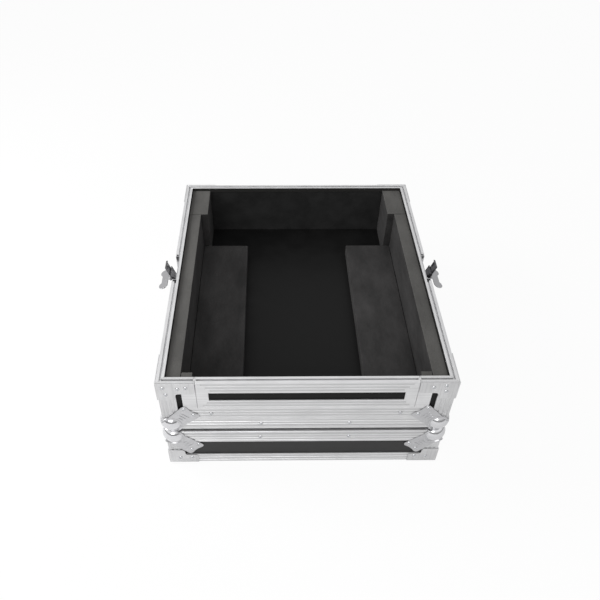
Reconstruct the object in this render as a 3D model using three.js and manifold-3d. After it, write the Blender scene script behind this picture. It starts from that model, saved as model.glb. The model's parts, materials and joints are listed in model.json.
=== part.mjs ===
// DJ mixer flight case: the open foam-lined base tray stands on its own upturned lid.
// Millimetres, +Z up, origin on the floor under the middle of the case, -Y is the front.

import * as THREE from 'three';
import { mergeVertices } from 'three/addons/utils/BufferGeometryUtils.js';
import Module from 'manifold-3d';

const wasm = await Module();
wasm.setup();

// Case, outside the aluminium
const case_width = 488;
const case_depth = 568;
const lid_height = 92.5;
const tray_height = 125.6;

// Boards and the gaps between pieces
const ply_thickness = 9;
const seat_gap = 0.3;
const sliding_gap = 0.5;
const cut_overrun = 2;

// Angle extrusions along the outer edges
const edge_thickness = 2;
const tray_edge_leg = 32;
const lid_edge_leg = 30;
const rib_height = 0.6;
const rib_width = 2.6;
const rib_pitch = 7.4;

// Tongue-and-groove extrusions round the two rims
const tray_rim_leg = 26.5;
const lid_rim_leg = 23;
const rim_flange = 5;
const groove_width = 3.4;
const groove_depth = 4.6;
const rim_web = 1.6;
const rim_lip_wall = 1.4;
const rim_inner_leg = 10;
const tongue_height = 3.2;
const tongue_clearance = 0.5;

// Ball corners
const ball_radius = 15;
const ball_inset = 10.6;
const corner_trim = 13.5;
const ear_thickness = 1.4;
const ear_half_width = 16.5;
const tray_ear_reach = 76;
const lid_ear_reach_share = 0.8216;
const ear_round = 10;
const ear_dip = 4;
const collar_radius = 23;
const collar_rise = 1.2;
const ball_segments = 16;

// Braces over the rim corners
const brace_thickness = 1.3;
const brace_reach = 62;
const brace_drop = 41;
const brace_leg = 29;
const brace_round = 6;
const lid_brace_reach = 52;
const lid_brace_drop_share = 0.4;

// Front opening with its lift-out panel
const low_rim_height = 27.1;
const opening_half_width = 181.8;
const front_bar_share = 0.378;
const front_leg_share = 0.466;
const panel_foot_bar = 20;
const panel_inner_leg = 9;
const runner_depth = 3;
const runner_width = 2.4;

// Foam inside the tray and the lid
const liner_thickness = 27;
const liner_top_drop = 6;
const cable_bay_depth = 91;
const rear_block_width = 41;
const platform_height = 24;
const mixer_bay_half_width = 109;
const front_strip_width = 19;
const front_strip_thickness = 15;
const lid_foam_thickness = 12;
const lid_foam_margin = 24;

// Butterfly latches, one at the middle of each side wall
const latch_width = 78;
const latch_height = 54;
const latch_border = 6;
const latch_depth = 7;
const dish_wall = 1.2;
const hinge_drop = 44;
const hinge_depth = 3.6;
const hinge_pin_radius = 1.4;
const lug_wall = 0.7;
const knuckle_radius = 2.9;
const knuckle_length = 36;
const lug_width = 3;
const arm_width = 30;
const arm_height = 37;
const arm_thickness = 1.3;
const spindle_rise = 22;
const spindle_radius = 2.6;
const spindle_head_radius = 8;
const spindle_head_thickness = 1.6;
const claw_width = 22;
const claw_thickness = 1.2;
const claw_base_rise = 10;
const claw_top_rise = 55;
const claw_hook_depth = 3.2;
const claw_travel = 6;
const wing_thickness = 1.6;
const wing_lobe_radius = 9;
const wing_half_span = 27;
const wing_neck_length = 6;
const wing_knuckle_radius = 2;
const wing_pin_radius = 0.9;
const wing_knuckle_length = 9;
const wing_lug_width = 1.8;
const latch_open_angle = 20;

// Keepers that the claws hook over, in the lid
const keeper_height = 44;
const keeper_ledge_thickness = 1.6;
const keeper_ledge_depth = 4;

// Spring-loaded handle in the rear wall of the tray
const handle_width = 150;
const handle_height = 62;
const handle_border = 8;
const handle_depth = 7.4;
const bail_radius = 2.8;
const grip_radius = 4.2;
const grip_half_length = 40;
const bail_half_width = 50;
const bail_drop = 30;
const pintle_length = 6;
const pintle_radius = 2.2;
const pintle_clearance = 0.4;
const handle_lug_width = 5;

// Roundness of small turned forms
const fine_segments = 20;
const coarse_segments = 12;

// Sizes that follow from those above
const half_width = case_width / 2;
const half_depth = case_depth / 2;
const panel_face = edge_thickness + seat_gap;
const panel_back = panel_face + ply_thickness;
const lip_start = panel_back + seat_gap;
const rim_thickness = lip_start + rim_lip_wall;
const groove_start = rim_flange;
const groove_end = rim_flange + groove_width;
const tray_web_drop = groove_depth + rim_web;
const lid_web_drop = rim_web;
const ball_gap = seat_gap + ear_thickness;
const lid_base = tongue_height;
const tray_base = lid_base + lid_height + 2 * (ball_radius - ball_inset) + seat_gap;
const floor_top = panel_back;
const foam_top = tray_height - liner_top_drop;
const foam_start = rim_thickness + seat_gap;
const strip_back = foam_start + front_strip_thickness;
const tray_panel_top = tray_height - tray_web_drop - seat_gap;
const low_wall_top = tray_edge_leg + seat_gap + low_rim_height;
const front_margin = half_width - opening_half_width;
const front_bar_width = front_margin * front_bar_share;
const front_post_leg = front_margin * front_leg_share;
const opening_sill = low_wall_top + seat_gap;
const pocket_half_width = latch_width / 2 - latch_border;
const handle_middle = (tray_edge_leg + tray_height - tray_rim_leg) / 2;
const bail_line = handle_depth - grip_radius - seat_gap;
const bail_height = handle_middle + handle_height / 2 - handle_border
  - bail_radius - pintle_clearance - dish_wall;

// Finishes
const ribbed_aluminium = () => metal('#c9cacb', 0.38, 0.85);
const smooth_aluminium = () => metal('#c2c3c5', 0.3, 0.9);
const plated_steel = () => metal('#bcbdc0', 0.22, 0.95);
const black_laminate = () => metal('#1d1e20', 0.55, 0);
const charcoal_foam = () => metal('#4a4947', 0.95, 0);

function metal(color, roughness, metalness) {
  return new THREE.MeshStandardMaterial({ color, roughness, metalness });
}

// Turns a closed mesh into a solid that can be joined and cut.
function solid(geometry) {
  const plain = geometry.index ? geometry.toNonIndexed() : geometry.clone();
  for (const name of Object.keys(plain.attributes)) {
    if (name !== 'position') plain.deleteAttribute(name);
  }
  const merged = mergeVertices(plain);
  return new wasm.Manifold(new wasm.Mesh({
    numProp: 3,
    vertProperties: new Float32Array(merged.attributes.position.array),
    triVerts: new Uint32Array(merged.index.array),
  }));
}

// Turns a solid back into a mesh.
function surface(body) {
  const mesh = body.getMesh();
  const geometry = new THREE.BufferGeometry();
  geometry.setAttribute('position', new THREE.BufferAttribute(mesh.vertProperties, 3));
  geometry.setIndex(new THREE.BufferAttribute(mesh.triVerts, 1));
  return geometry;
}

function joined(...bodies) {
  return bodies.reduce((whole, body) => whole.add(body));
}

function block(x, y, z) {
  const geometry = new THREE.BoxGeometry(x[1] - x[0], y[1] - y[0], z[1] - z[0]);
  geometry.translate((x[0] + x[1]) / 2, (y[0] + y[1]) / 2, (z[0] + z[1]) / 2);
  return solid(geometry);
}

// A round bar of the given radius from one end to the other along a row axis.
function round_bar(axis, from, to, centre, radius, segments = fine_segments) {
  const geometry = new THREE.CylinderGeometry(radius, radius, to - from, segments);
  if (axis === 'x') geometry.rotateZ(-Math.PI / 2);
  if (axis === 'z') geometry.rotateX(Math.PI / 2);
  const middle = (from + to) / 2;
  if (axis === 'x') geometry.translate(middle, centre[0], centre[1]);
  if (axis === 'y') geometry.translate(centre[0], middle, centre[1]);
  if (axis === 'z') geometry.translate(centre[0], centre[1], middle);
  return solid(geometry);
}

function ball(centre, radius, segments = ball_segments) {
  const geometry = new THREE.SphereGeometry(radius, segments, segments / 2);
  geometry.translate(...centre);
  return solid(geometry);
}

// A flat plate: its outline lies in the wall's face, x along it and z up, its thickness in y.
function plate(outline, face, thickness) {
  const geometry = new THREE.ExtrudeGeometry(outline, {
    depth: thickness, bevelEnabled: false, curveSegments: coarse_segments / 3,
  });
  geometry.rotateX(Math.PI / 2);
  geometry.translate(0, face + thickness, 0);
  return solid(geometry);
}

// Reflects a solid; the given function says where a corner goes.
function reflected(body, place_of) {
  const geometry = surface(body).toNonIndexed();
  const place = geometry.attributes.position;
  const turned = [];
  for (let corner = 0; corner < place.count; corner += 3) {
    for (const source of [corner, corner + 2, corner + 1]) {
      turned.push(...place_of(place.getX(source), place.getY(source), place.getZ(source)));
    }
  }
  geometry.setAttribute('position', new THREE.Float32BufferAttribute(turned, 3));
  return solid(geometry);
}

// The other hand of a solid, across the plane x = 0.
function mirrored(body) {
  return reflected(body, (x, y, z) => [-x, y, z]);
}

// The same solid on the other face of a corner.
function other_face(body) {
  return reflected(body, (x, y, z) => [y, x, z]);
}

// Grooves between the ribs of an extrusion: places along a leg from its start to its end.
function groove_places(from, to) {
  const width = rib_pitch - rib_width;
  const count = Math.max(1, Math.floor((to - from - rib_width) / rib_pitch));
  const start = (from + to - (count - 1) * rib_pitch) / 2;
  return Array.from({ length: count }, (_, index) => {
    const middle = start + index * rib_pitch;
    return [middle - width / 2, middle + width / 2];
  });
}

// The ribbed face of a leg, from its start to its end, as [depth, place] pairs.
function ribbed_face(from, to) {
  const points = [[0, from]];
  for (const [low, high] of groove_places(from, to)) {
    points.push([0, low], [rib_height, low + rib_height]);
    points.push([rib_height, high - rib_height], [0, high]);
  }
  points.push([0, to]);
  return points;
}

// Section of an edge angle: legs along both outer faces, meeting at a softened corner.
function angle_section(leg_one, leg_two) {
  const along_two = ribbed_face(rib_height, leg_two).reverse();
  const along_one = ribbed_face(rib_height, leg_one).map(([depth, place]) => [place, depth]);
  return [
    ...along_two, ...along_one,
    [leg_one, edge_thickness], [edge_thickness, edge_thickness], [edge_thickness, leg_two],
  ];
}

// Section of a rim extrusion as [depth, height]: ribbed outer leg, grooved or tongued top, inner leg.
function rim_section(top, leg, tongued) {
  const web_drop = tongued ? lid_web_drop : tray_web_drop;
  const middle = tongued
    ? [
      [groove_start + tongue_clearance, top],
      [groove_start + tongue_clearance, top + tongue_height],
      [groove_end - tongue_clearance, top + tongue_height],
      [groove_end - tongue_clearance, top],
    ]
    : [
      [groove_start, top], [groove_start, top - groove_depth],
      [groove_end, top - groove_depth], [groove_end, top],
    ];
  return [
    ...ribbed_face(top - leg, top), ...middle,
    [rim_thickness, top], [rim_thickness, top - rim_inner_leg],
    [lip_start, top - rim_inner_leg], [lip_start, top - web_drop],
    [edge_thickness, top - web_drop], [edge_thickness, top - leg],
  ];
}

function outline_of(points) {
  return new THREE.Shape(points.map(([x, y]) => new THREE.Vector2(x, y)));
}

// A length of extrusion along a wall: section depth goes into y, height into z. Mitred ends slope
// back by the section's own depth, so two lengths meet on the corner's diagonal.
function wall_bar(section, from, to, mitred_start, mitred_end) {
  const length = to - from;
  const geometry = new THREE.ExtrudeGeometry(outline_of(section), { depth: length, bevelEnabled: false });
  const place = geometry.attributes.position;
  for (let corner = 0; corner < place.count; corner += 1) {
    const depth = place.getX(corner);
    const height = place.getY(corner);
    const at_start = place.getZ(corner) < length / 2;
    const slope = depth + seat_gap / 2;
    const shift = at_start ? mitred_start * slope : -mitred_end * slope;
    place.setXYZ(corner, from + place.getZ(corner) + shift, depth, height);
  }
  return solid(geometry);
}

// An upright length of extrusion at a corner, where both faces start at x = 0 and y = 0.
function upright_bar(section, from, to) {
  const geometry = new THREE.ExtrudeGeometry(outline_of(section), { depth: to - from, bevelEnabled: false });
  geometry.translate(0, 0, from);
  return solid(geometry);
}

// A closed mitred frame of one section, as [inset, height], round a rectangle in the x-y plane.
function mitred_ring(section, half_x, half_y) {
  const points = THREE.ShapeUtils.isClockWise(section.map(([x, y]) => new THREE.Vector2(x, y)))
    ? [...section].reverse()
    : section;
  const corners = [[-1, -1], [1, -1], [1, 1], [-1, 1]];
  const place = [];
  for (const [side_x, side_y] of corners) {
    for (const [inset, height] of points) {
      place.push(side_x * (half_x - inset), side_y * (half_y - inset), height);
    }
  }
  const faces = [];
  corners.forEach((_, corner) => {
    const here = corner * points.length;
    const there = ((corner + 1) % corners.length) * points.length;
    points.forEach((_, index) => {
      const next = (index + 1) % points.length;
      faces.push(here + index, here + next, there + next, here + index, there + next, there + index);
    });
  });
  const geometry = new THREE.BufferGeometry();
  geometry.setAttribute('position', new THREE.Float32BufferAttribute(place, 3));
  geometry.setIndex(faces);
  return solid(geometry);
}

// The small cubes cut off the two lower corners of a wall, or of the base, where the balls sit.
function trimmed(body, half_span) {
  const far = half_span + cut_overrun;
  const near = half_span - corner_trim;
  const reach = [-cut_overrun, corner_trim];
  return body.subtract(block([-far, -near], reach, reach)).subtract(block([near, far], reach, reach));
}

// Edge angle along the foot of a wall, its second leg under the base.
function foot_edge(half_span, leg) {
  return trimmed(wall_bar(angle_section(leg, leg), -half_span, half_span, 1, 1), half_span);
}

// Board of a wall, up to its rim.
function wall_board(half_length, half_span, top) {
  const board = block([-half_length, half_length], [panel_face, panel_back], [floor_top + seat_gap, top]);
  return trimmed(board, half_span);
}

// The cubes cut off all four corners of a base.
function corner_cubes() {
  const reach = [-cut_overrun, corner_trim];
  const near_x = half_width - corner_trim;
  const near_y = half_depth - corner_trim;
  const far_x = half_width + cut_overrun;
  const far_y = half_depth + cut_overrun;
  const cubes = [];
  for (const side of [-1, 1]) {
    for (const end of [-1, 1]) {
      cubes.push(block(ordered(side * near_x, side * far_x), ordered(end * near_y, end * far_y), reach));
    }
  }
  return joined(...cubes);
}

function ordered(one, other) {
  return [Math.min(one, other), Math.max(one, other)];
}

function full_base() {
  const half_x = half_width - panel_face;
  const half_y = half_depth - panel_face;
  return block([-half_x, half_x], [-half_y, half_y], [panel_face, panel_back]);
}

// Lid box: four walls and the top board glued into one, modelled here with its mouth upwards.
function lid_box() {
  const top = lid_height - lid_web_drop - seat_gap;
  const half_x = half_width - panel_face;
  const half_y = half_depth - panel_face;
  const walls = block([-half_x, half_x], [-half_y, half_y], [panel_face, top]);
  const hollow = block(
    [panel_back - half_width, half_width - panel_back],
    [panel_back - half_depth, half_depth - panel_back],
    [panel_back, top + cut_overrun],
  );
  const half_cut = pocket_half_width + dish_wall + seat_gap;
  const sill = lid_height - keeper_height + latch_border - dish_wall - seat_gap;
  let box = walls.subtract(hollow).subtract(corner_cubes());
  for (const side of [-1, 1]) {
    const x = ordered(side * half_width, side * (half_width - dish_recess(latch_depth)));
    box = box.subtract(block(x, [-half_cut, half_cut], [sill, lid_height]));
  }
  return box;
}

// One ear of a ball corner on the face y = 0: a strip along the diagonal with a two-lobed end.
function ear_outline(reach) {
  const path = new THREE.Path();
  path.moveTo(ear_half_width, -ear_half_width);
  path.lineTo(reach - ear_round, -ear_half_width);
  path.absarc(reach - ear_round, ear_round - ear_half_width, ear_round, -Math.PI / 2, 0);
  path.quadraticCurveTo(reach - ear_dip, 0, reach, ear_half_width - ear_round);
  path.absarc(reach - ear_round, ear_half_width - ear_round, ear_round, 0, Math.PI / 2);
  path.lineTo(ear_half_width, ear_half_width);
  const diagonal = path.getPoints(coarse_segments / 4);
  const centre = new THREE.Vector2();
  return new THREE.Shape(diagonal.map((point) => point.rotateAround(centre, Math.PI / 4)));
}

// Ball corner at a lower corner whose three faces start at x, y and z = 0. A raised collar round
// the ball joins its three ears over the case's edges.
function ball_corner(reach) {
  const far = 2 * ball_radius + ball_inset;
  const core = block([-seat_gap, far], [-seat_gap, far], [-seat_gap, far]);
  const seat = [-seat_gap - cut_overrun, corner_trim - seat_gap];
  const case_body = core.subtract(block(seat, seat, seat));
  const cap = ball([ball_inset, ball_inset, ball_inset], ball_radius).subtract(case_body);
  const collar_face = -ball_gap - collar_rise;
  const far_edge = ball_inset + collar_radius;
  const middle = [ball_inset, ball_inset];
  const collar = round_bar('y', collar_face, -seat_gap, middle, collar_radius, ball_segments)
    .intersect(block([collar_face, far_edge], [collar_face, 0], [collar_face, far_edge]));
  const ear = surface(plate(ear_outline(reach), -ball_gap, ear_thickness).add(collar));
  const swap = new THREE.Matrix4().makeBasis(
    new THREE.Vector3(0, 1, 0), new THREE.Vector3(0, 0, 1), new THREE.Vector3(1, 0, 0),
  );
  const second = ear.clone().applyMatrix4(swap);
  const third = second.clone().applyMatrix4(swap);
  return joined(cap, solid(ear), solid(second), solid(third));
}

// Outline of a brace on one face of a rim corner: along the rim, and down the post's leg.
function brace_outline(top, reach, leg, rim_leg, drop) {
  const shape = new THREE.Shape();
  shape.moveTo(0, top);
  shape.lineTo(reach, top);
  shape.lineTo(reach, top - rim_leg + brace_round);
  shape.quadraticCurveTo(reach, top - rim_leg, reach - brace_round, top - rim_leg);
  shape.lineTo(leg + brace_round, top - rim_leg);
  shape.quadraticCurveTo(leg, top - rim_leg, leg, top - rim_leg - brace_round);
  shape.lineTo(leg, top - drop + brace_round);
  shape.quadraticCurveTo(leg, top - drop, leg - brace_round, top - drop);
  shape.lineTo(0, top - drop);
  return shape;
}

// One half of a brace, on the face y = 0, with the pad that carries it on the post.
function half_brace(top, reach, leg, rim_leg, drop) {
  const outer = -seat_gap - brace_thickness;
  const outline = brace_outline(top - seat_gap, reach, leg, rim_leg - seat_gap, drop);
  const pad = block(
    [rib_height, leg - brace_round], [outer / 2, rib_height / 2],
    [top - drop + brace_round, top - rim_leg - seat_gap],
  );
  return plate(outline, outer, brace_thickness).add(pad);
}

// Upright angle of one corner with the brace riveted over its top, faces at x = 0 and y = 0. Its
// leg and its brace may be narrower along x than along y.
function corner_post(top, foot, rim_leg, drop, along_x, along_y) {
  const post = upright_bar(angle_section(along_x.leg, along_y.leg), foot, top - rim_leg - seat_gap);
  const outer = -seat_gap - brace_thickness;
  const inner = -seat_gap;
  const bend = outline_of([
    [outer, outer], [rib_height, outer], [rib_height, inner], [inner, inner], [inner, rib_height],
    [outer, rib_height],
  ]);
  const bend_geometry = new THREE.ExtrudeGeometry(bend, { depth: drop - seat_gap, bevelEnabled: false });
  bend_geometry.translate(0, 0, top - drop);
  const [half_x, half_y] = [along_x, along_y].map(
    ({ reach, leg }) => half_brace(top, reach, leg, rim_leg, drop),
  );
  return joined(solid(bend_geometry), half_x, other_face(half_y), post);
}

// The stub of grooved rim beside the front opening, mitred at the corner and closed at its end.
function rim_stub() {
  const section = rim_section(tray_height, tray_rim_leg, false);
  const reach = front_margin - rim_web - seat_gap;
  const bar = wall_bar(section, 0, reach, 1, 0);
  const face_pad = [-seat_gap - brace_thickness / 2, rib_height / 2];
  const height = [tray_height - tray_rim_leg + brace_round, tray_height - brace_round];
  return bar.add(block([reach / 2, reach - brace_round], face_pad, height));
}

function tray_post(along_x = { reach: brace_reach, leg: brace_leg }) {
  const along_y = { reach: brace_reach, leg: brace_leg };
  return corner_post(tray_height, tray_edge_leg + seat_gap, tray_rim_leg, brace_drop, along_x, along_y);
}

function front_tray_post() {
  return tray_post({ reach: front_margin - seat_gap, leg: front_post_leg }).add(rim_stub());
}

function lid_post() {
  const face = { reach: lid_brace_reach, leg: brace_leg };
  const drop = lid_height * lid_brace_drop_share;
  return corner_post(lid_height, lid_edge_leg + seat_gap, lid_rim_leg, drop, face, face);
}

// A rim along one wall of the tray, notched for a latch where the wall carries one.
function tray_rim(half_span, notched) {
  const bar = wall_bar(rim_section(tray_height, tray_rim_leg, false), -half_span, half_span, 1, 1);
  return notched ? bar.subtract(latch_notch(tray_height, tray_rim_leg)) : bar;
}

function latch_notch(top, leg) {
  const half = latch_width / 2 + seat_gap;
  return block(
    [-half, half], [-cut_overrun, dish_recess(latch_depth)],
    [top - leg - cut_overrun, top + tongue_height + cut_overrun],
  );
}

// Wall board with the recess for a latch dish, open at the rim.
function latched_board(half_length, half_span, top, latch_drop) {
  const half_cut = pocket_half_width + dish_wall + seat_gap;
  const sill = latch_drop + latch_border - dish_wall - seat_gap;
  const board = wall_board(half_length, half_span, top);
  const recess = [0, dish_recess(latch_depth)];
  return board.subtract(block([-half_cut, half_cut], recess, [sill, top + cut_overrun]));
}

// Depth of the recess that takes a pocket of the given depth; the board stays whole behind it.
function dish_recess(depth) {
  return depth + dish_wall + seat_gap;
}

// Lower and end parts of the front wall, round the opening of the lift-out panel.
function front_board() {
  const half_length = half_width - panel_face;
  const board = wall_board(half_length, half_width, tray_panel_top);
  const half_cut = opening_half_width + rim_web + seat_gap;
  const sill = low_wall_top - rim_web - seat_gap;
  return board.subtract(block([-half_cut, half_cut], [0, rim_thickness], [sill, tray_height]));
}

// U-shaped plate round the front opening: a sill of one width and two uprights of another.
function opening_surround(half_opening, sill, foot_width, side_width, top, face, thickness) {
  const outer = half_opening + side_width;
  const shape = outline_of([
    [-outer, sill - foot_width], [outer, sill - foot_width], [outer, top], [half_opening, top],
    [half_opening, sill], [-half_opening, sill], [-half_opening, top], [-outer, top],
  ]);
  return plate(shape, face, thickness);
}

// Extrusion round the front opening, with the runner that the lift-out panel slides on.
function opening_frame() {
  const under_stub = tray_height - tray_rim_leg - seat_gap;
  const half = opening_half_width;
  const sill = low_wall_top;
  let face = opening_surround(half, sill, low_rim_height, front_bar_width, under_stub, 0, edge_thickness);
  const groove_half = half + front_bar_width + cut_overrun;
  for (const [low, high] of groove_places(sill - low_rim_height, sill)) {
    face = face.subtract(block([-groove_half, groove_half], [-cut_overrun, rib_height], [low, high]));
  }
  const web = opening_surround(half, sill, rim_web, rim_web, tray_height, 0, rim_thickness);
  const lining = opening_surround(
    half, sill, rim_inner_leg, rim_inner_leg, under_stub, lip_start, rim_lip_wall,
  );
  const runner_start = (groove_start + groove_end - runner_width) / 2;
  const runner = opening_surround(
    half - runner_depth, sill + runner_depth, 2 * runner_depth, 2 * runner_depth, tray_height,
    runner_start, runner_width,
  );
  const runner_trim = opening_surround(
    half + rim_web / 2, sill - rim_web / 2, low_rim_height, front_bar_width, tray_height + cut_overrun,
    0, rim_thickness,
  );
  return joined(face, web, lining, runner.subtract(runner_trim));
}

// Mitred extrusion frame of the lift-out panel; its groove is the rim's, all the way round. The ribs
// of its top and foot bars end at the mitres.
function panel_frame() {
  const half_x = opening_half_width - sliding_gap;
  const half_z = (tray_height - opening_sill) / 2;
  const section = [
    [0, 0], [0, -groove_start], [groove_depth, -groove_start], [groove_depth, -groove_end],
    [0, -groove_end], [0, -rim_thickness], [panel_inner_leg, -rim_thickness],
    [panel_inner_leg, -lip_start], [tray_web_drop, -lip_start], [tray_web_drop, -edge_thickness],
    [panel_foot_bar, -edge_thickness], [panel_foot_bar, 0],
  ];
  const ring = surface(mitred_ring(section, half_x, half_z));
  ring.rotateX(Math.PI / 2);
  ring.translate(0, 0, opening_sill + half_z);
  const wide_top = block(
    [-half_x + panel_foot_bar / 2, half_x - panel_foot_bar / 2], [0, edge_thickness],
    [tray_height - tray_rim_leg, tray_height - panel_foot_bar / 2],
  );
  const top_grooves = groove_places(tray_height - tray_rim_leg, tray_height)
    .map(([low, high]) => [low, high, tray_height - low]);
  const foot_grooves = groove_places(opening_sill, opening_sill + panel_foot_bar)
    .map(([low, high]) => [low, high, high - opening_sill]);
  let frame = solid(ring).add(wide_top);
  for (const [low, high, mitre] of [...top_grooves, ...foot_grooves]) {
    frame = frame.subtract(block([mitre - half_x, half_x - mitre], [-cut_overrun, rib_height], [low, high]));
  }
  return frame;
}

function panel_board() {
  const margin = tray_web_drop + seat_gap;
  const half_x = opening_half_width - sliding_gap - margin;
  return block([-half_x, half_x], [panel_face, panel_back], [opening_sill + margin, tray_height - margin]);
}

// Recessed dish: a border plate with a pocket pressed into it, open at the top edge if asked.
function recessed_dish(half_x, foot, top, border, depth, open_top) {
  const pocket_top = open_top ? top : top - border;
  const pocket_x = half_x - border;
  const wall_top = open_top ? top : pocket_top + dish_wall;
  const border_plate = block([-half_x, half_x], [rib_height, edge_thickness], [foot, top]);
  const outside = block(
    [-pocket_x - dish_wall, pocket_x + dish_wall], [rib_height, depth + dish_wall],
    [foot + border - dish_wall, wall_top],
  );
  const inside = block(
    [-pocket_x, pocket_x], [-cut_overrun, depth],
    [foot + border, open_top ? top + cut_overrun : pocket_top],
  );
  return border_plate.add(outside).subtract(inside);
}

// Latch dish with the two lugs and the pin that the latch arm swings on.
function latch_dish() {
  const foot = tray_height - latch_height;
  const hinge_height = tray_height - hinge_drop;
  const lug_start = knuckle_length / 2 + seat_gap;
  const dish = recessed_dish(latch_width / 2, foot, tray_height, latch_border, latch_depth, true);
  const lug_reach = hinge_pin_radius + lug_wall;
  const lug_y = [hinge_depth - lug_reach, latch_depth + dish_wall / 2];
  const lug_z = [foot + latch_border - dish_wall / 2, hinge_height + lug_reach];
  const lugs = [-1, 1].map((side) => block(
    ordered(side * lug_start, side * (lug_start + lug_width)), lug_y, lug_z,
  ));
  const pin_end = lug_start + lug_width / 2;
  const pin = round_bar(
    'x', -pin_end, pin_end, [hinge_depth, hinge_height], hinge_pin_radius, coarse_segments,
  );
  return joined(dish, ...lugs, pin);
}

// Latch arm about its hinge line: a knuckle on the pin and the plate that carries the spindle.
function latch_arm() {
  const half = knuckle_length / 2;
  const plate_face = knuckle_radius - arm_thickness;
  const knuckle = round_bar('x', -half, half, [0, 0], knuckle_radius);
  const back = block(
    [-arm_width / 2, arm_width / 2], [plate_face, plate_face + arm_thickness], [0, arm_height],
  );
  const bore = round_bar(
    'x', -half - cut_overrun, half + cut_overrun, [0, 0], hinge_pin_radius + seat_gap, coarse_segments,
  );
  const hole = round_bar(
    'y', 0, 2 * knuckle_radius, [0, spindle_rise], spindle_radius + seat_gap,
  );
  return joined(knuckle, back).subtract(bore).subtract(hole);
}

// Faces of the stacked latch plates, measured from the hinge line towards the case.
function latch_stack() {
  const arm_face = knuckle_radius - arm_thickness;
  const claw_back = arm_face - seat_gap;
  const claw_face = claw_back - claw_thickness;
  const head_back = claw_face - seat_gap;
  const head_face = head_back - spindle_head_thickness;
  const wing_line = head_face - wing_knuckle_radius - seat_gap;
  return { claw_face, claw_back, head_back, head_face, wing_line };
}

// Claw plate: slotted for the spindle, hooked inwards at its top.
function latch_claw() {
  const stack = latch_stack();
  const half = claw_width / 2;
  const strip = block([-half, half], [stack.claw_face, stack.claw_back], [claw_base_rise, claw_top_rise]);
  const hook = block(
    [-half, half], [stack.claw_face, stack.claw_face + claw_hook_depth],
    [claw_top_rise - claw_thickness, claw_top_rise],
  );
  const slot_half = spindle_radius + seat_gap;
  const across = [stack.claw_face - cut_overrun, stack.claw_back + cut_overrun];
  const slot = joined(
    block([-slot_half, slot_half], across, [spindle_rise, spindle_rise + claw_travel]),
    round_bar('y', ...across, [0, spindle_rise], slot_half),
    round_bar('y', ...across, [0, spindle_rise + claw_travel], slot_half),
  );
  return joined(strip, hook).subtract(slot);
}

// Spindle: shaft through arm and claw, head in front, and the lugs and pin of the wing.
function latch_spindle() {
  const stack = latch_stack();
  const centre = [0, spindle_rise];
  const shaft = round_bar('y', stack.head_back - seat_gap, knuckle_radius, centre, spindle_radius);
  const head = round_bar('y', stack.head_face, stack.head_back, centre, spindle_head_radius);
  const lug_start = wing_knuckle_length / 2 + seat_gap;
  const lugs = [-1, 1].map((side) => block(
    ordered(side * lug_start, side * (lug_start + wing_lug_width)),
    [stack.wing_line - wing_knuckle_radius, stack.head_face + seat_gap],
    [spindle_rise - wing_knuckle_radius, spindle_rise + wing_knuckle_radius],
  ));
  const pin_end = lug_start + wing_lug_width / 2;
  const pin = round_bar(
    'x', -pin_end, pin_end, [stack.wing_line, spindle_rise], wing_pin_radius, coarse_segments,
  );
  return joined(shaft, head, ...lugs, pin);
}

// Butterfly wing standing straight out: a knuckle, a neck and two round lobes.
function latch_wing() {
  const stack = latch_stack();
  const half_thickness = wing_thickness / 2;
  const height = [spindle_rise - half_thickness, spindle_rise + half_thickness];
  const lobe_x = wing_half_span - wing_lobe_radius;
  const lobe_y = stack.wing_line - wing_neck_length - wing_lobe_radius;
  const lobes = [-1, 1].map((side) => round_bar('z', ...height, [side * lobe_x, lobe_y], wing_lobe_radius));
  const bridge = block(
    [-lobe_x, lobe_x], [lobe_y - wing_lobe_radius / 2, stack.wing_line - wing_neck_length], height,
  );
  const half_neck = wing_knuckle_length / 2;
  const neck = block([-half_neck, half_neck], [lobe_y, stack.wing_line], height);
  const centre = [stack.wing_line, spindle_rise];
  const knuckle = round_bar('x', -half_neck, half_neck, centre, wing_knuckle_radius);
  const bore = round_bar(
    'x', -half_neck - cut_overrun, half_neck + cut_overrun, centre,
    wing_pin_radius + seat_gap, coarse_segments,
  );
  return joined(...lobes, bridge, neck, knuckle).subtract(bore);
}

// Keeper dish in the lid, with the ledge that the claw hooks over.
function keeper() {
  const foot = lid_height - keeper_height;
  const dish = recessed_dish(latch_width / 2, foot, lid_height, latch_border, latch_depth, true);
  const locked_rise = claw_top_rise - claw_travel - claw_thickness - hinge_drop;
  const ledge_top = lid_height - locked_rise + keeper_ledge_thickness + seat_gap;
  const half = claw_width / 2 + latch_border;
  const reach = [latch_depth - keeper_ledge_depth / 2, latch_depth + dish_wall / 2];
  const ledge = block([-half, half], reach, [ledge_top - keeper_ledge_thickness, ledge_top]);
  return dish.add(ledge);
}

// Dish of the rear handle, with the two lugs that hold the bail.
function handle_dish() {
  const foot = handle_middle - handle_height / 2;
  const top = handle_middle + handle_height / 2;
  const dish = recessed_dish(handle_width / 2, foot, top, handle_border, handle_depth, false);
  const lug_start = bail_half_width + bail_radius + seat_gap;
  const lug_end = lug_start + handle_lug_width;
  const lug_y = [bail_line - bail_radius - pintle_clearance - dish_wall, handle_depth + dish_wall / 2];
  const reach = bail_radius + pintle_clearance + dish_wall;
  const lugs = [-1, 1].map((side) => block(
    ordered(side * lug_start, side * lug_end), lug_y, [bail_height - reach, bail_height + reach],
  ));
  const bore = round_bar(
    'x', -lug_end - cut_overrun, lug_end + cut_overrun, [bail_line, bail_height],
    pintle_radius + pintle_clearance,
  );
  return joined(dish, ...lugs.map((lug) => lug.subtract(bore)));
}

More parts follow.
